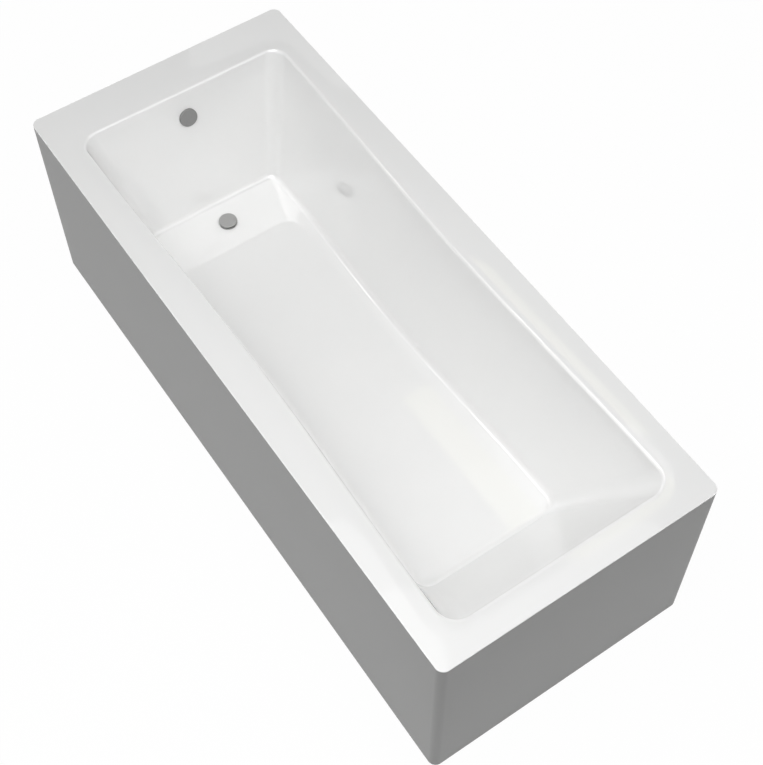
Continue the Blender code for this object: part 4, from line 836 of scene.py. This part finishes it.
def ridges(radius, depth, low, high, count):
    """Points up a side whose radius falls by the depth between one ridge and the next."""
    shares = np.linspace(0, 1, count * 4 + 1)
    fall = depth * np.clip(1.5 * np.sin(math.pi * count * shares) ** 2 - 0.25, 0, 1)
    return [(radius - drop, low + (high - low) * share) for share, drop in zip(shares, fall)]


def moulded_edge(radius, height, way):
    """Points round a moulding's outer edge: up from its lower face (way 1), or in to its upper one (-1)."""
    return [(radius - inset, height + way * rise) for inset, rise in MOULDED_ROUND][::way]


def make_waste_body():
    """Two turned shapes joined, the sleeve and the inlet, with a bore cut through each."""
    under = BODY_TOP - BODY_COLLAR_THICKNESS
    sleeve = turned_piece("waste_sleeve", [
        (0, BODY_BOTTOM), (BODY_RADIUS - BODY_CHAMFER, BODY_BOTTOM),
        *ridges(BODY_RADIUS, BODY_THREAD_DEPTH, BODY_BOTTOM + BODY_CHAMFER, BODY_THREAD_TOP, 6),
        *[(BODY_RADIUS + out, under - down) for out, down in BODY_FILLET],
        *moulded_edge(BODY_COLLAR_RADIUS, under, 1), *moulded_edge(BODY_COLLAR_RADIUS, BODY_TOP, -1),
        (0, BODY_TOP),
    ], WASTE_PLACE)
    barbs = []
    for start in np.arange(BARB_START, BARB_STOP, BARB_SPACING):
        barbs += [(INLET_RADIUS - BARB_DEPTH, start)]
        barbs += [(INLET_RADIUS, start + BARB_RISE), (INLET_RADIUS, start + 2 * BARB_RISE)]
    inlet = turned_piece("waste_inlet", [
        (0, BODY_BORE_RADIUS + INLET_ROOT), (INLET_RADIUS, BODY_BORE_RADIUS + INLET_ROOT),
        (INLET_RADIUS, INLET_SHANK), *barbs,
        *[(INLET_RADIUS - inset, INLET_REACH - back) for inset, back in INLET_TIP], (0, INLET_REACH),
    ], INLET_PLACE, steps=64)
    combine(sleeve, "UNION", [inlet])
    top, bottom = BODY_TOP + BORE_OVERRUN, BODY_BOTTOM - BORE_OVERRUN
    combine(sleeve, "DIFFERENCE", [
        rod_cutter("waste_bore", WASTE_PLACE, BODY_BORE_RADIUS, top, bottom, 96),
        rod_cutter("inlet_bore", INLET_PLACE, INLET_BORE_RADIUS, INLET_REACH + BORE_OVERRUN, 0.0),
    ])
    return sleeve


def plastic_finish(name, colours, sheen):
    """Moulded plastic: an even colour between two near shades, under a fine spark-eroded grain."""
    finish = Finish(name, colours[0], sheen)
    grain = finish.noise(1100.0, 2.0)
    colour = finish.tint(finish.noise(30.0), *colours)
    return finish.vary(colour, finish.level(grain, sheen - 0.07, sheen + 0.08), grain, PLASTIC_GRAIN)


WHITE_PLASTIC = plastic_finish("white_plastic", ((0.80, 0.80, 0.78), (0.76, 0.76, 0.74)), 0.42)
paint(make_waste_body(), WHITE_PLASTIC, replaced=["waste_body"])


# The trap: a moulded S-bend of the same plastic, which keeps the drain's air out of the room with water.
# Its collar hangs in the union nut, on a rubber washer, and its outlet leads to the wall side.

TRAP_TOP = -0.0697
TRAP_COLLAR_HEIGHT = 0.0045
TRAP_COLLAR_CHAMFER = 0.0005
TRAP_RADIUS = 0.0210
TRAP_BORE_RADIUS = 0.0182
TRAP_MOUTH_CHAMFER = 0.0003
TRAP_DIP_LEVEL = -0.1262
TRAP_BEND_RADIUS = 0.030
TRAP_WIDTH = 0.064
TRAP_PLAIN_START = 0.003
TRAP_RINGS = 190
OUTLET_LEVEL = -0.0462
OUTLET_REACH = 0.190
OUTLET_THREAD_LENGTH = 0.013
OUTLET_THREAD_DEPTH = 0.0005
OUTLET_THREAD_END = 0.001
HALF_STEP = 0.0002


def rounded_route(corners, radius, spans=40):
    """A line through the corners, with an arc of the radius in place of each corner between the ends."""
    corners = np.array(corners, dtype=float)
    steps = unit(np.diff(corners, axis=0))
    route = [corners[0]]
    for before, corner_point, after in zip(steps[:-1], corners[1:-1], steps[1:]):
        route += round_over(-before, corner_point, after, radius, spans)
    return np.array([*route, corners[-1]])


def line_length(route):
    """How far along the line each of its points lies."""
    return np.concatenate([[0], np.cumsum(np.linalg.norm(np.diff(route, axis=0), axis=1))])


def swept_piece(name, route, wall, sideways, place=None, steps=64):
    """A round section carried along a line in one plane, out along its skin and back in its bore.

    The wall's points are (distance along the line, radius). At angle a, a ring's point is the line's point
    plus radius * (cos a * sideways + sin a * (direction x sideways)).
    """
    angles = full_turn(steps)[:, None]
    lengths = line_length(route)
    sideways = np.array(sideways, dtype=float)

    def point_at(distance):
        return np.array([np.interp(distance, lengths, route[:, axis]) for axis in range(3)])

    rings = []
    for distance, radius in wall:
        inner = min(max(distance, HALF_STEP), lengths[-1] - HALF_STEP)
        direction = unit(point_at(inner + HALF_STEP) - point_at(inner - HALF_STEP))
        crossways = np.cross(direction, sideways)
        rings.append(point_at(distance) + radius * (np.cos(angles) * sideways + np.sin(angles) * crossways))
    return grid_piece(name, rings, place, closed_along=True)


def make_trap():
    """The trap's wall along its rounded route, with a collar at its start and a thread at its outlet."""
    route = rounded_route([
        (0, 0, TRAP_TOP), (0, 0, TRAP_DIP_LEVEL), (0, TRAP_WIDTH, TRAP_DIP_LEVEL),
        (0, TRAP_WIDTH, OUTLET_LEVEL), (0, OUTLET_REACH, OUTLET_LEVEL),
    ], TRAP_BEND_RADIUS)
    end = line_length(route)[-1]
    thread_start = end - OUTLET_THREAD_LENGTH
    collar, collar_edge = TRAP_COLLAR_HEIGHT, BODY_RADIUS - TRAP_COLLAR_CHAMFER
    plain = np.linspace(collar + TRAP_PLAIN_START, thread_start - OUTLET_THREAD_END, TRAP_RINGS)
    thread = ridges(TRAP_RADIUS, OUTLET_THREAD_DEPTH, thread_start, end - OUTLET_THREAD_END, 5)
    mouth = TRAP_BORE_RADIUS + TRAP_MOUTH_CHAMFER
    wall = [
        (0, collar_edge), (TRAP_COLLAR_CHAMFER, BODY_RADIUS), (collar - TRAP_COLLAR_CHAMFER, BODY_RADIUS),
        (collar, collar_edge), (collar, TRAP_RADIUS + 0.0002), (collar + 0.0003, TRAP_RADIUS),
        *[(distance, TRAP_RADIUS) for distance in plain],
        *[(distance, radius) for radius, distance in thread],
        (end, TRAP_RADIUS - 0.0009), (end, mouth), (end - TRAP_MOUTH_CHAMFER, TRAP_BORE_RADIUS),
        *[(distance, TRAP_BORE_RADIUS) for distance in plain[::-2]],
        (TRAP_MOUTH_CHAMFER, TRAP_BORE_RADIUS), (0, mouth),
    ]
    return swept_piece("swept_trap", route, wall, (1, 0, 0), WASTE_PLACE)


paint(make_trap(), WHITE_PLASTIC, replaced=["bath_trap"])
repaint(RUBBER, ["trap_washer", "outlet_washer"])


# The union nuts: one draws the trap's collar up to the waste body and is turned by hand on its bold ribs.
# The other, finely ribbed, holds the outlet pipe's rubber washer to the trap's end.

TRAP_NUT_BOTTOM = -0.0795
TRAP_NUT_TOP = -0.0575
TRAP_NUT_LIP = -0.0745
TRAP_NUT_INNER = 0.0243
TRAP_NUT_OUTER = 0.0293
TRAP_NUT_LIP_RADIUS = 0.0214
TRAP_NUT_LIP_CHAMFER = 0.0004
TRAP_NUT_THREAD = (-0.0588, -0.0715)
TRAP_NUT_THREAD_DEPTH = 0.0006
TRAP_NUT_RIBS = 12
TRAP_RIB_WIDTH = 0.002
TRAP_RIB_RISE = 0.001
TRAP_RIB_FLANK = 0.0007
TRAP_RIB_EDGE = 0.0003
TRAP_RIB_ENDS = ((0.0016, 0.7), (0.0022, 1), (0.0080, 1))  # off the nut's face, and share of the rise
OUTLET_NUT_BACK = -0.0116
OUTLET_NUT_FACE = 0.0056
OUTLET_NUT_FRONT = 0.0084
OUTLET_NUT_INNER = 0.0214
OUTLET_NUT_OUTER = 0.0242
OUTLET_NUT_RIBS = 48
OUTLET_RIB_DEPTH = 0.0006
OUTLET_PLACE = (
    WASTE_PLACE @ Matrix.Translation((0, OUTLET_REACH, OUTLET_LEVEL))
    @ Matrix.Rotation(-math.pi / 2, 4, "X")
)


def ribbed_nut(name, profile, wave, place):
    """A ring turned round the guide's axis, whose radius at angle a grows by a share of the wave there.

    The profile's points are (radius, height, share), or (radius, height) where the ribs don't reach. The
    wave is one number for each angle.
    """
    angles = full_turn(len(wave))
    rings = [circle(radius + sum(share) * wave, height, angles) for radius, height, *share in profile]
    return grid_piece(name, rings, place, closed_along=True)


def make_trap_nut():
    """Each rib is a flat-topped wave: its rise times the share, between 0 and 1, of its eased flanks."""
    spread = np.linspace(0, TRAP_NUT_RIBS, TRAP_NUT_RIBS * 36, endpoint=False)
    from_rib = np.abs((spread + 0.5) % 1 - 0.5) * 2 * math.pi * TRAP_NUT_OUTER / TRAP_NUT_RIBS
    flank = np.clip((TRAP_RIB_WIDTH / 2 + TRAP_RIB_EDGE - from_rib) / TRAP_RIB_FLANK, 0, 1)
    wave = TRAP_RIB_RISE * flank**2 * (3 - 2 * flank)
    outer, low, high, lip = TRAP_NUT_OUTER, TRAP_NUT_BOTTOM, TRAP_NUT_TOP, TRAP_NUT_LIP_RADIUS
    root = TRAP_NUT_INNER + TRAP_NUT_THREAD_DEPTH
    thread = ridges(TRAP_NUT_INNER, TRAP_NUT_THREAD_DEPTH, *TRAP_NUT_THREAD, 4)
    profile = [
        (lip, low + TRAP_NUT_LIP_CHAMFER), (lip + TRAP_NUT_LIP_CHAMFER, low), *moulded_edge(outer, low, 1),
        *[(outer, low + rise, share) for rise, share in TRAP_RIB_ENDS],
        *[(outer, high - rise, share) for rise, share in TRAP_RIB_ENDS[::-1]],
        *moulded_edge(outer, high, -1), (root, high),
        *[(radius + TRAP_NUT_THREAD_DEPTH, height) for radius, height in thread],
        (TRAP_NUT_INNER, TRAP_NUT_LIP + 0.0006), (TRAP_NUT_INNER, TRAP_NUT_LIP), (lip, TRAP_NUT_LIP),
    ]
    return ribbed_nut("ribbed_trap_nut", profile, wave, WASTE_PLACE)


def make_outlet_nut():
    """The side's radius falls by the ribs' depth times (1 - |cos(ribs * a / 2)|)."""
    half_turns = np.linspace(0, OUTLET_NUT_RIBS * math.pi, OUTLET_NUT_RIBS * 8, endpoint=False)
    wave = OUTLET_RIB_DEPTH * (np.abs(np.cos(half_turns)) - 1)
    outer, back, front = OUTLET_NUT_OUTER, OUTLET_NUT_BACK, OUTLET_NUT_FRONT
    profile = [
        (OUTLET_NUT_INNER, back), (outer - 0.0008, back), (outer - 0.0002, back + 0.0003, 0.5),
        (outer, back + 0.0010, 1), (outer, 0.0, 1), (outer, front - 0.0026, 1),
        (outer - 0.0002, front - 0.0018, 0.5), (outer - 0.0007, front - 0.0006), (outer - 0.0014, front),
        (TRAP_BORE_RADIUS + 0.0004, front), (TRAP_BORE_RADIUS, front - 0.0004),
        (TRAP_BORE_RADIUS, OUTLET_NUT_FACE), (OUTLET_NUT_INNER, OUTLET_NUT_FACE), (OUTLET_NUT_INNER, 0.0),
    ]
    return ribbed_nut("ribbed_outlet_nut", profile, wave, OUTLET_PLACE)


paint(make_trap_nut(), WHITE_PLASTIC, replaced=["trap_nut"])
paint(make_outlet_nut(), WHITE_PLASTIC, replaced=["outlet_nut"])


# The plug: a turned brass disc, satin plated, on a spindle that slides in the latching cartridge. The
# bather presses it down to close the bath on its rubber seal, and presses it again to let it rise.

CAP_RADIUS = 0.0233
CAP_BOTTOM = 0.0066
CAP_THICKNESS = 0.0034
CAP_EDGE_RADIUS = 0.0010
CAP_SIDE_RISE = 0.0012
CAP_BOSS_RADIUS = 0.0058
CAP_BOSS_HEIGHT = 0.0020
FACE_SHARES = (0.985, 0.9, 0.7, 0.45, 0.2, 0)
BRASS_COLOURS = ((0.74, 0.58, 0.30), (0.50, 0.37, 0.19))
BRASS_RELIEF = 0.00004


def rim_round(radius, height, edge, upper=True):
    """Points that round a disc's rim, from its side to its face, or from its back to its side."""
    if upper:
        return [(radius - inset, height - drop) for inset, drop in quarter_round(edge)]
    return [(radius - inset, height + rise) for rise, inset in quarter_round(edge)]


def flat_face(radius, height):
    """A flat round face from near its rim to its middle."""
    return [(radius * share, height) for share in FACE_SHARES]


def make_cap():
    """The cap's profile from the foot of its boss out to its rim and in over its face, turned."""
    bottom, top, boss = CAP_BOTTOM, CAP_BOTTOM + CAP_THICKNESS, CAP_BOTTOM - CAP_BOSS_HEIGHT
    return turned_piece("waste_cap_disc", [
        (0, boss), (CAP_BOSS_RADIUS, boss), (CAP_BOSS_RADIUS, bottom),
        *rim_round(CAP_RADIUS, bottom, CAP_EDGE_RADIUS * 0.6, upper=False),
        (CAP_RADIUS, bottom + CAP_SIDE_RISE), *rim_round(CAP_RADIUS, top, CAP_EDGE_RADIUS),
        *flat_face(CAP_RADIUS - CAP_EDGE_RADIUS, top),
    ], WASTE_PLACE)


def brass_finish():
    """Turned brass, slightly tarnished."""
    finish = Finish("plain_brass", BRASS_COLOURS[0], 0.35, 1.0)
    tarnish = finish.noise(400.0, 4.0, 0.6)
    colour = finish.tint(finish.eased(tarnish, 0.4, 0.8), *BRASS_COLOURS)
    return finish.vary(colour, finish.level(tarnish, 0.24, 0.46), tarnish, BRASS_RELIEF)


repaint(brass_finish(), ["push_cartridge", "plug_spindle"])
repaint(RUBBER, ["cap_seal"])
CAP_FINISH = satin_finish("waste_metal", WASTE_PLACE, WASTE_METAL)
paint(make_cap(), CAP_FINISH, "waste_plug", ["waste_cap"])


# The overflow's fixing: an elbow moulded in black plastic stands behind the end wall on a rubber washer. A
# clamp screw through a plated plate on the wall's face draws the elbow up to it.

# The overflow's metal is the waste's satin metal made darker: painted shade for its upright place on the
# end wall, which takes less of the overhead light.
OVERFLOW_SHADED_METAL = ((0.345, 0.345, 0.342), (0.32, 0.32, 0.318))
ELBOW_BLACKS = ((0.035, 0.035, 0.036), (0.05, 0.05, 0.052))

repaint(plastic_finish("black_plastic", ELBOW_BLACKS, 0.45), ["overflow_elbow"])
repaint(RUBBER, ["overflow_washer"])
# The plate's darker metal is painted shade, like the cover's.
repaint(satin_finish("plate_metal_painted_shade", OVERFLOW_PLACE, OVERFLOW_SHADED_METAL), ["overflow_plate"])
repaint(ZINC, ["overflow_screw"])


# The overflow cover: a shallow cup pressed from plated sheet, which hides the clamp plate and its screw.
# It springs on to the plate's rim, and three slots in its lower edge let the water in.

COVER_RADIUS = 0.0236
COVER_DEPTH = 0.0062
COVER_WALL = 0.0018
COVER_FACE = 0.0010
COVER_EDGE_RADIUS = 0.0008
COVER_SIDE = (0.0006, COVER_DEPTH - 0.0012)
COVER_SLOT_START = 0.008
COVER_SLOT_OVERRUN = 0.003
COVER_SLOT_CORNER = 0.001
COVER_SLOT_WIDTH = 0.0055
COVER_SLOT_SPREAD = 0.0085
COVER_SLOT_HEIGHT = 0.0033
COVER_SLOT_COUNT = 3


def make_cover():
    """The cup's profile from the middle of its hollow out round its rim and in over its face, turned."""
    inner, hollow = COVER_RADIUS - COVER_WALL, COVER_DEPTH - COVER_FACE
    cup = turned_piece("overflow_cover_cup", [
        (0, hollow), (inner, hollow), (inner, SEAT_GAP), (COVER_RADIUS - 0.0003, SEAT_GAP),
        *[(COVER_RADIUS, height) for height in COVER_SIDE],
        *rim_round(COVER_RADIUS, COVER_DEPTH, COVER_EDGE_RADIUS),
        *flat_face(COVER_RADIUS - COVER_EDGE_RADIUS, COVER_DEPTH),
    ], OVERFLOW_PLACE)
    points, _ = outline(
        COVER_SLOT_START, COVER_RADIUS + COVER_SLOT_OVERRUN, COVER_SLOT_WIDTH / 2,
        COVER_SLOT_CORNER, COVER_SLOT_CORNER, corner=3, side=2, end=2,
    )
    slots = []
    for index in range(COVER_SLOT_COUNT):
        shifted = points + [0, (index - (COVER_SLOT_COUNT - 1) / 2) * COVER_SLOT_SPREAD]
        rings = [at_height(shifted, level) for level in (-COVER_SLOT_OVERRUN, COVER_SLOT_HEIGHT)]
        slots.append(grid_piece(f"cover_slot_{index}", rings, OVERFLOW_PLACE, capped=True))
    combine(cup, "DIFFERENCE", slots)
    return cup


# The cover's darker metal is painted shade for its upright face.
COVER_FINISH = satin_finish("overflow_metal_painted_shade", OVERFLOW_PLACE, OVERFLOW_SHADED_METAL)
paint(make_cover(), COVER_FINISH, replaced=["overflow_cover"])


# The overflow hose: blown in white plastic with close ribs so that it bends, and plain cuffs at its ends.
# The cuffs are pushed over the elbow's spout and the waste's side inlet, and worm-drive clips grip them.

ELBOW_BACK_REACH = 0.040
ELBOW_DROP = 0.048
HOSE_GRIP = 0.018
HOSE_CUFF_LENGTH = 0.030
HOSE_CUFF_RINGS = np.array([0.02, 0.2, 0.4, 0.6, 0.8])
HOSE_SLACK = 0.075
HOSE_BORE_RADIUS = 0.0131
HOSE_ROOT_WALL = 0.0012
HOSE_END_CHAMFER = 0.0004
HOSE_MOUTH_CHAMFER = 0.0002
HOSE_RIB_HEIGHT = 0.0016
HOSE_RIBS = 54


def hose_route():
    """Straight cuffs, and between them a cubic curve that leaves and arrives along them with the slack."""
    top = OVERFLOW_PLACE @ Vector((0, 0, -ELBOW_BACK_REACH)) + Vector((0, 0, HOSE_GRIP - ELBOW_DROP))
    end = WASTE_PLACE @ Vector((HOSE_GRIP - INLET_REACH, 0, INLET_LEVEL))
    down = np.array([0, 0, -1.0])
    out = np.array(WASTE_PLACE.to_3x3() @ Vector((-1, 0, 0)))
    top, end = np.array(top), np.array(end)
    leave, arrive = top + down * HOSE_CUFF_LENGTH, end + out * HOSE_CUFF_LENGTH
    pull, push = leave + down * HOSE_SLACK, arrive + out * HOSE_SLACK
    share = np.linspace(0, 1, 241)[:, None]
    curve = (
        (1 - share) ** 3 * leave + 3 * share * (1 - share) ** 2 * pull + 3 * share**2 * (1 - share) * push
        + share**3 * arrive
    )
    return np.concatenate([[top], curve, [end]])


def make_hose():
    """The hose's skin and bore rise together by the ribs' height times sin^2(pi * rib), cut flat on top."""
    route = hose_route()
    end = line_length(route)[-1]
    ribs = np.linspace(0, HOSE_RIBS, HOSE_RIBS * 8 + 1)
    wave = np.clip(1.3 * np.sin(math.pi * ribs) ** 2, 0, 1) * HOSE_RIB_HEIGHT
    distances = HOSE_CUFF_LENGTH + (end - 2 * HOSE_CUFF_LENGTH) * ribs / HOSE_RIBS
    root = HOSE_BORE_RADIUS + HOSE_ROOT_WALL
    cuff = HOSE_CUFF_LENGTH * HOSE_CUFF_RINGS
    skin = [(0, root - HOSE_END_CHAMFER), *[(distance, root) for distance in cuff]]
    skin += [(distance, root + rise) for distance, rise in zip(distances, wave)]
    skin += [(end - distance, root) for distance in cuff[::-1]] + [(end, root - HOSE_END_CHAMFER)]
    bore = [(distance, radius - HOSE_ROOT_WALL) for distance, radius in skin[1:-1]]
    mouth = HOSE_BORE_RADIUS + HOSE_MOUTH_CHAMFER
    wall = [*skin, (end, mouth), *bore[::-1], (0, mouth)]
    return swept_piece("ribbed_hose", route, wall, (0, 1, 0), steps=48)


paint(make_hose(), WHITE_PLASTIC, replaced=["overflow_hose"])
repaint(ZINC, ["upper_hose_clip", "lower_hose_clip"])


# The camera, at the photograph's viewing angle. Its place, its turn, its focal length in the photograph's
# pixels and the centre of its view were solved from the bath's corners, straight edges and round discs.

FOCAL_PIXELS = 1473.95
PHOTO_SIZE = (763, 765)
OPTICAL_CENTRE = (375.886, 356.449)
CAMERA_PLACE = (1.64907, -1.02278, 3.18610)
CAMERA_RIGHT = Vector((0.56276935, 0.82659238, -0.00597409))
CAMERA_UP = Vector((-0.68574565, 0.47088774, 0.55499337))

camera = bpy.data.objects.new("camera", bpy.data.cameras.new("camera"))
bpy.context.scene.collection.objects.link(camera)
camera.data.lens = FOCAL_PIXELS * camera.data.sensor_width / max(PHOTO_SIZE)
camera.data.shift_x = (PHOTO_SIZE[0] / 2 - OPTICAL_CENTRE[0]) / max(PHOTO_SIZE)
camera.data.shift_y = (OPTICAL_CENTRE[1] - PHOTO_SIZE[1] / 2) / max(PHOTO_SIZE)
turn = Matrix((CAMERA_RIGHT, CAMERA_UP, CAMERA_RIGHT.cross(CAMERA_UP))).transposed().to_4x4()
camera.matrix_world = Matrix.Translation(CAMERA_PLACE) @ turn
bpy.context.scene.camera = camera


# The studio: a plain white floor that keeps a faint shadow, soft square lamps round and over the bath at a
# plain level, and one weak strip lamp of a warmer white beyond its waste end. Polished pieces mirror a
# white wall round the studio, which fades to dark overhead.

WHITE = (1.0, 1.0, 1.0)
FLOOR_REACH = 12.0
PAPER_WHITE = (0.90, 0.90, 0.90)
SHOWN_WHITE = 0.975
WALL_FADES = (0.25, 0.55)
LAMPS = (  # name, place, the point it faces, size, watts
    ("above_near_side", (1.0, -1.0, 2.8), (0.6, -0.5, 0.4), 2.6, 28.3),
    ("above_long_side", (0.0, -1.0, 2.8), (0.0, -0.5, 0.4), 2.6, 10.3),
    ("above_head_end", (1.0, 0.0, 2.8), (0.6, 0.0, 0.4), 2.6, 7.0),
    ("high_near_corner", (1.10, -1.10, 5.80), (0, 0, 0.3), 4.0, 97.0),
    ("high_wall_corner", (2.73, 2.73, 4.60), (0, 0, 0.3), 4.0, 66.3),
    ("before_long_side", (0.0, -5.30, 2.82), (0, 0, 0.3), 4.0, 39.4),
    ("beyond_far_corner", (-3.75, 3.75, 2.82), (0, 0, 0.3), 4.0, 14.2),
    ("beyond_waste_end", (-5.82, 0.0, 1.45), (0, 0, 0.3), 2.8, 38.6),
    ("high_waste_end", (-1.45, -0.13, 5.82), (0, 0, 0.45), 1.3, 12.2),
    ("middle_waste_end", (-2.62, -0.23, 5.39), (0, 0, 0.45), 1.8, 13.5),
    ("lower_waste_end", (-3.68, -0.32, 4.73), (0, 0, 0.45), 1.6, 10.4),
    ("high_far_corner", (-1.32, 0.61, 5.82), (0, 0, 0.45), 1.3, 2.1),
)
STRIP_PLACE = (-1.625, 2.085, 4.85)
STRIP_SIZE = (1.45, 0.63)
STRIP_POWER = 1.05
STRIP_COLOUR = (1.0, 1.0, 0.6)


def make_floor():
    """A wide level sheet at the bath's foot: an even grid of (x, y, 0)."""
    reach = np.linspace(-1, 1, 9) * FLOOR_REACH
    x, y = np.meshgrid(reach, reach)
    return grid_piece("studio_floor", np.stack([x, y, np.zeros_like(x)], axis=-1), closed_round=False)


def floor_finish():
    """White paper: the camera sees it nearly all as plain white, and light falls on it as on paper."""
    finish = Finish("floor_paper", PAPER_WHITE, 0.9)
    seen = finish.node("ShaderNodeLightPath", output="Is Camera Ray")
    seen = seen + seen.beside("Is Glossy Ray") + seen.beside("Is Transmission Ray")
    shown = finish.node("ShaderNodeMath", {"operation": "MINIMUM"}, [seen * SHOWN_WHITE, SHOWN_WHITE])
    glow = finish.node("ShaderNodeEmission", {}, {"Color": WHITE, "Strength": 1.0})
    lit = Sum(finish, finish.shader.outputs["BSDF"])
    mixed = finish.node("ShaderNodeMixShader", {}, [shown, lit, glow])
    finish.give(finish.tree.nodes["Material Output"].inputs["Surface"], mixed)
    return finish


def add_lamp(name, place, aim, size, power, depth=None, colour=WHITE):
    """A soft square or oblong lamp at a place, turned to face a point."""
    data = bpy.data.lights.new(name, "AREA")
    data.shape = "RECTANGLE"
    data.size = size
    data.size_y = depth or size
    data.energy = power
    data.color = colour
    lamp = bpy.data.objects.new(name, data)
    lamp.location = place
    lamp.rotation_euler = (Vector(aim) - Vector(place)).to_track_quat("-Z", "Y").to_euler()
    bpy.context.scene.collection.objects.link(lamp)


def make_world():
    """White to the camera, and to what mirrors it a white wall low down that fades to dark overhead."""
    world = bpy.data.worlds.new("studio")
    world.use_nodes = True
    nodes = Nodes(world.node_tree)
    heading = nodes.node("ShaderNodeTexCoord", output="Generated")
    wall = 1 - nodes.eased(nodes.node("ShaderNodeSeparateXYZ", {}, [heading], output="Z"), *WALL_FADES)
    seen = nodes.node("ShaderNodeLightPath", output="Is Camera Ray")
    mirrored = (seen.beside("Is Glossy Ray") + seen.beside("Is Transmission Ray")) * wall
    background = nodes.tree.nodes["Background"].inputs
    nodes.give(background["Strength"], seen + mirrored)
    nodes.give(background["Color"], WHITE)
    return world


studio_floor = make_floor()
studio_floor.data.materials.append(floor_finish().material)
for lamp in LAMPS:
    add_lamp(*lamp)
strip_foot = (*STRIP_PLACE[:2], 0.0)
add_lamp("warm_strip", STRIP_PLACE, strip_foot, STRIP_SIZE[0], STRIP_POWER, STRIP_SIZE[1], STRIP_COLOUR)
bpy.context.scene.world = make_world()
bpy.context.scene.view_settings.view_transform = "Standard"
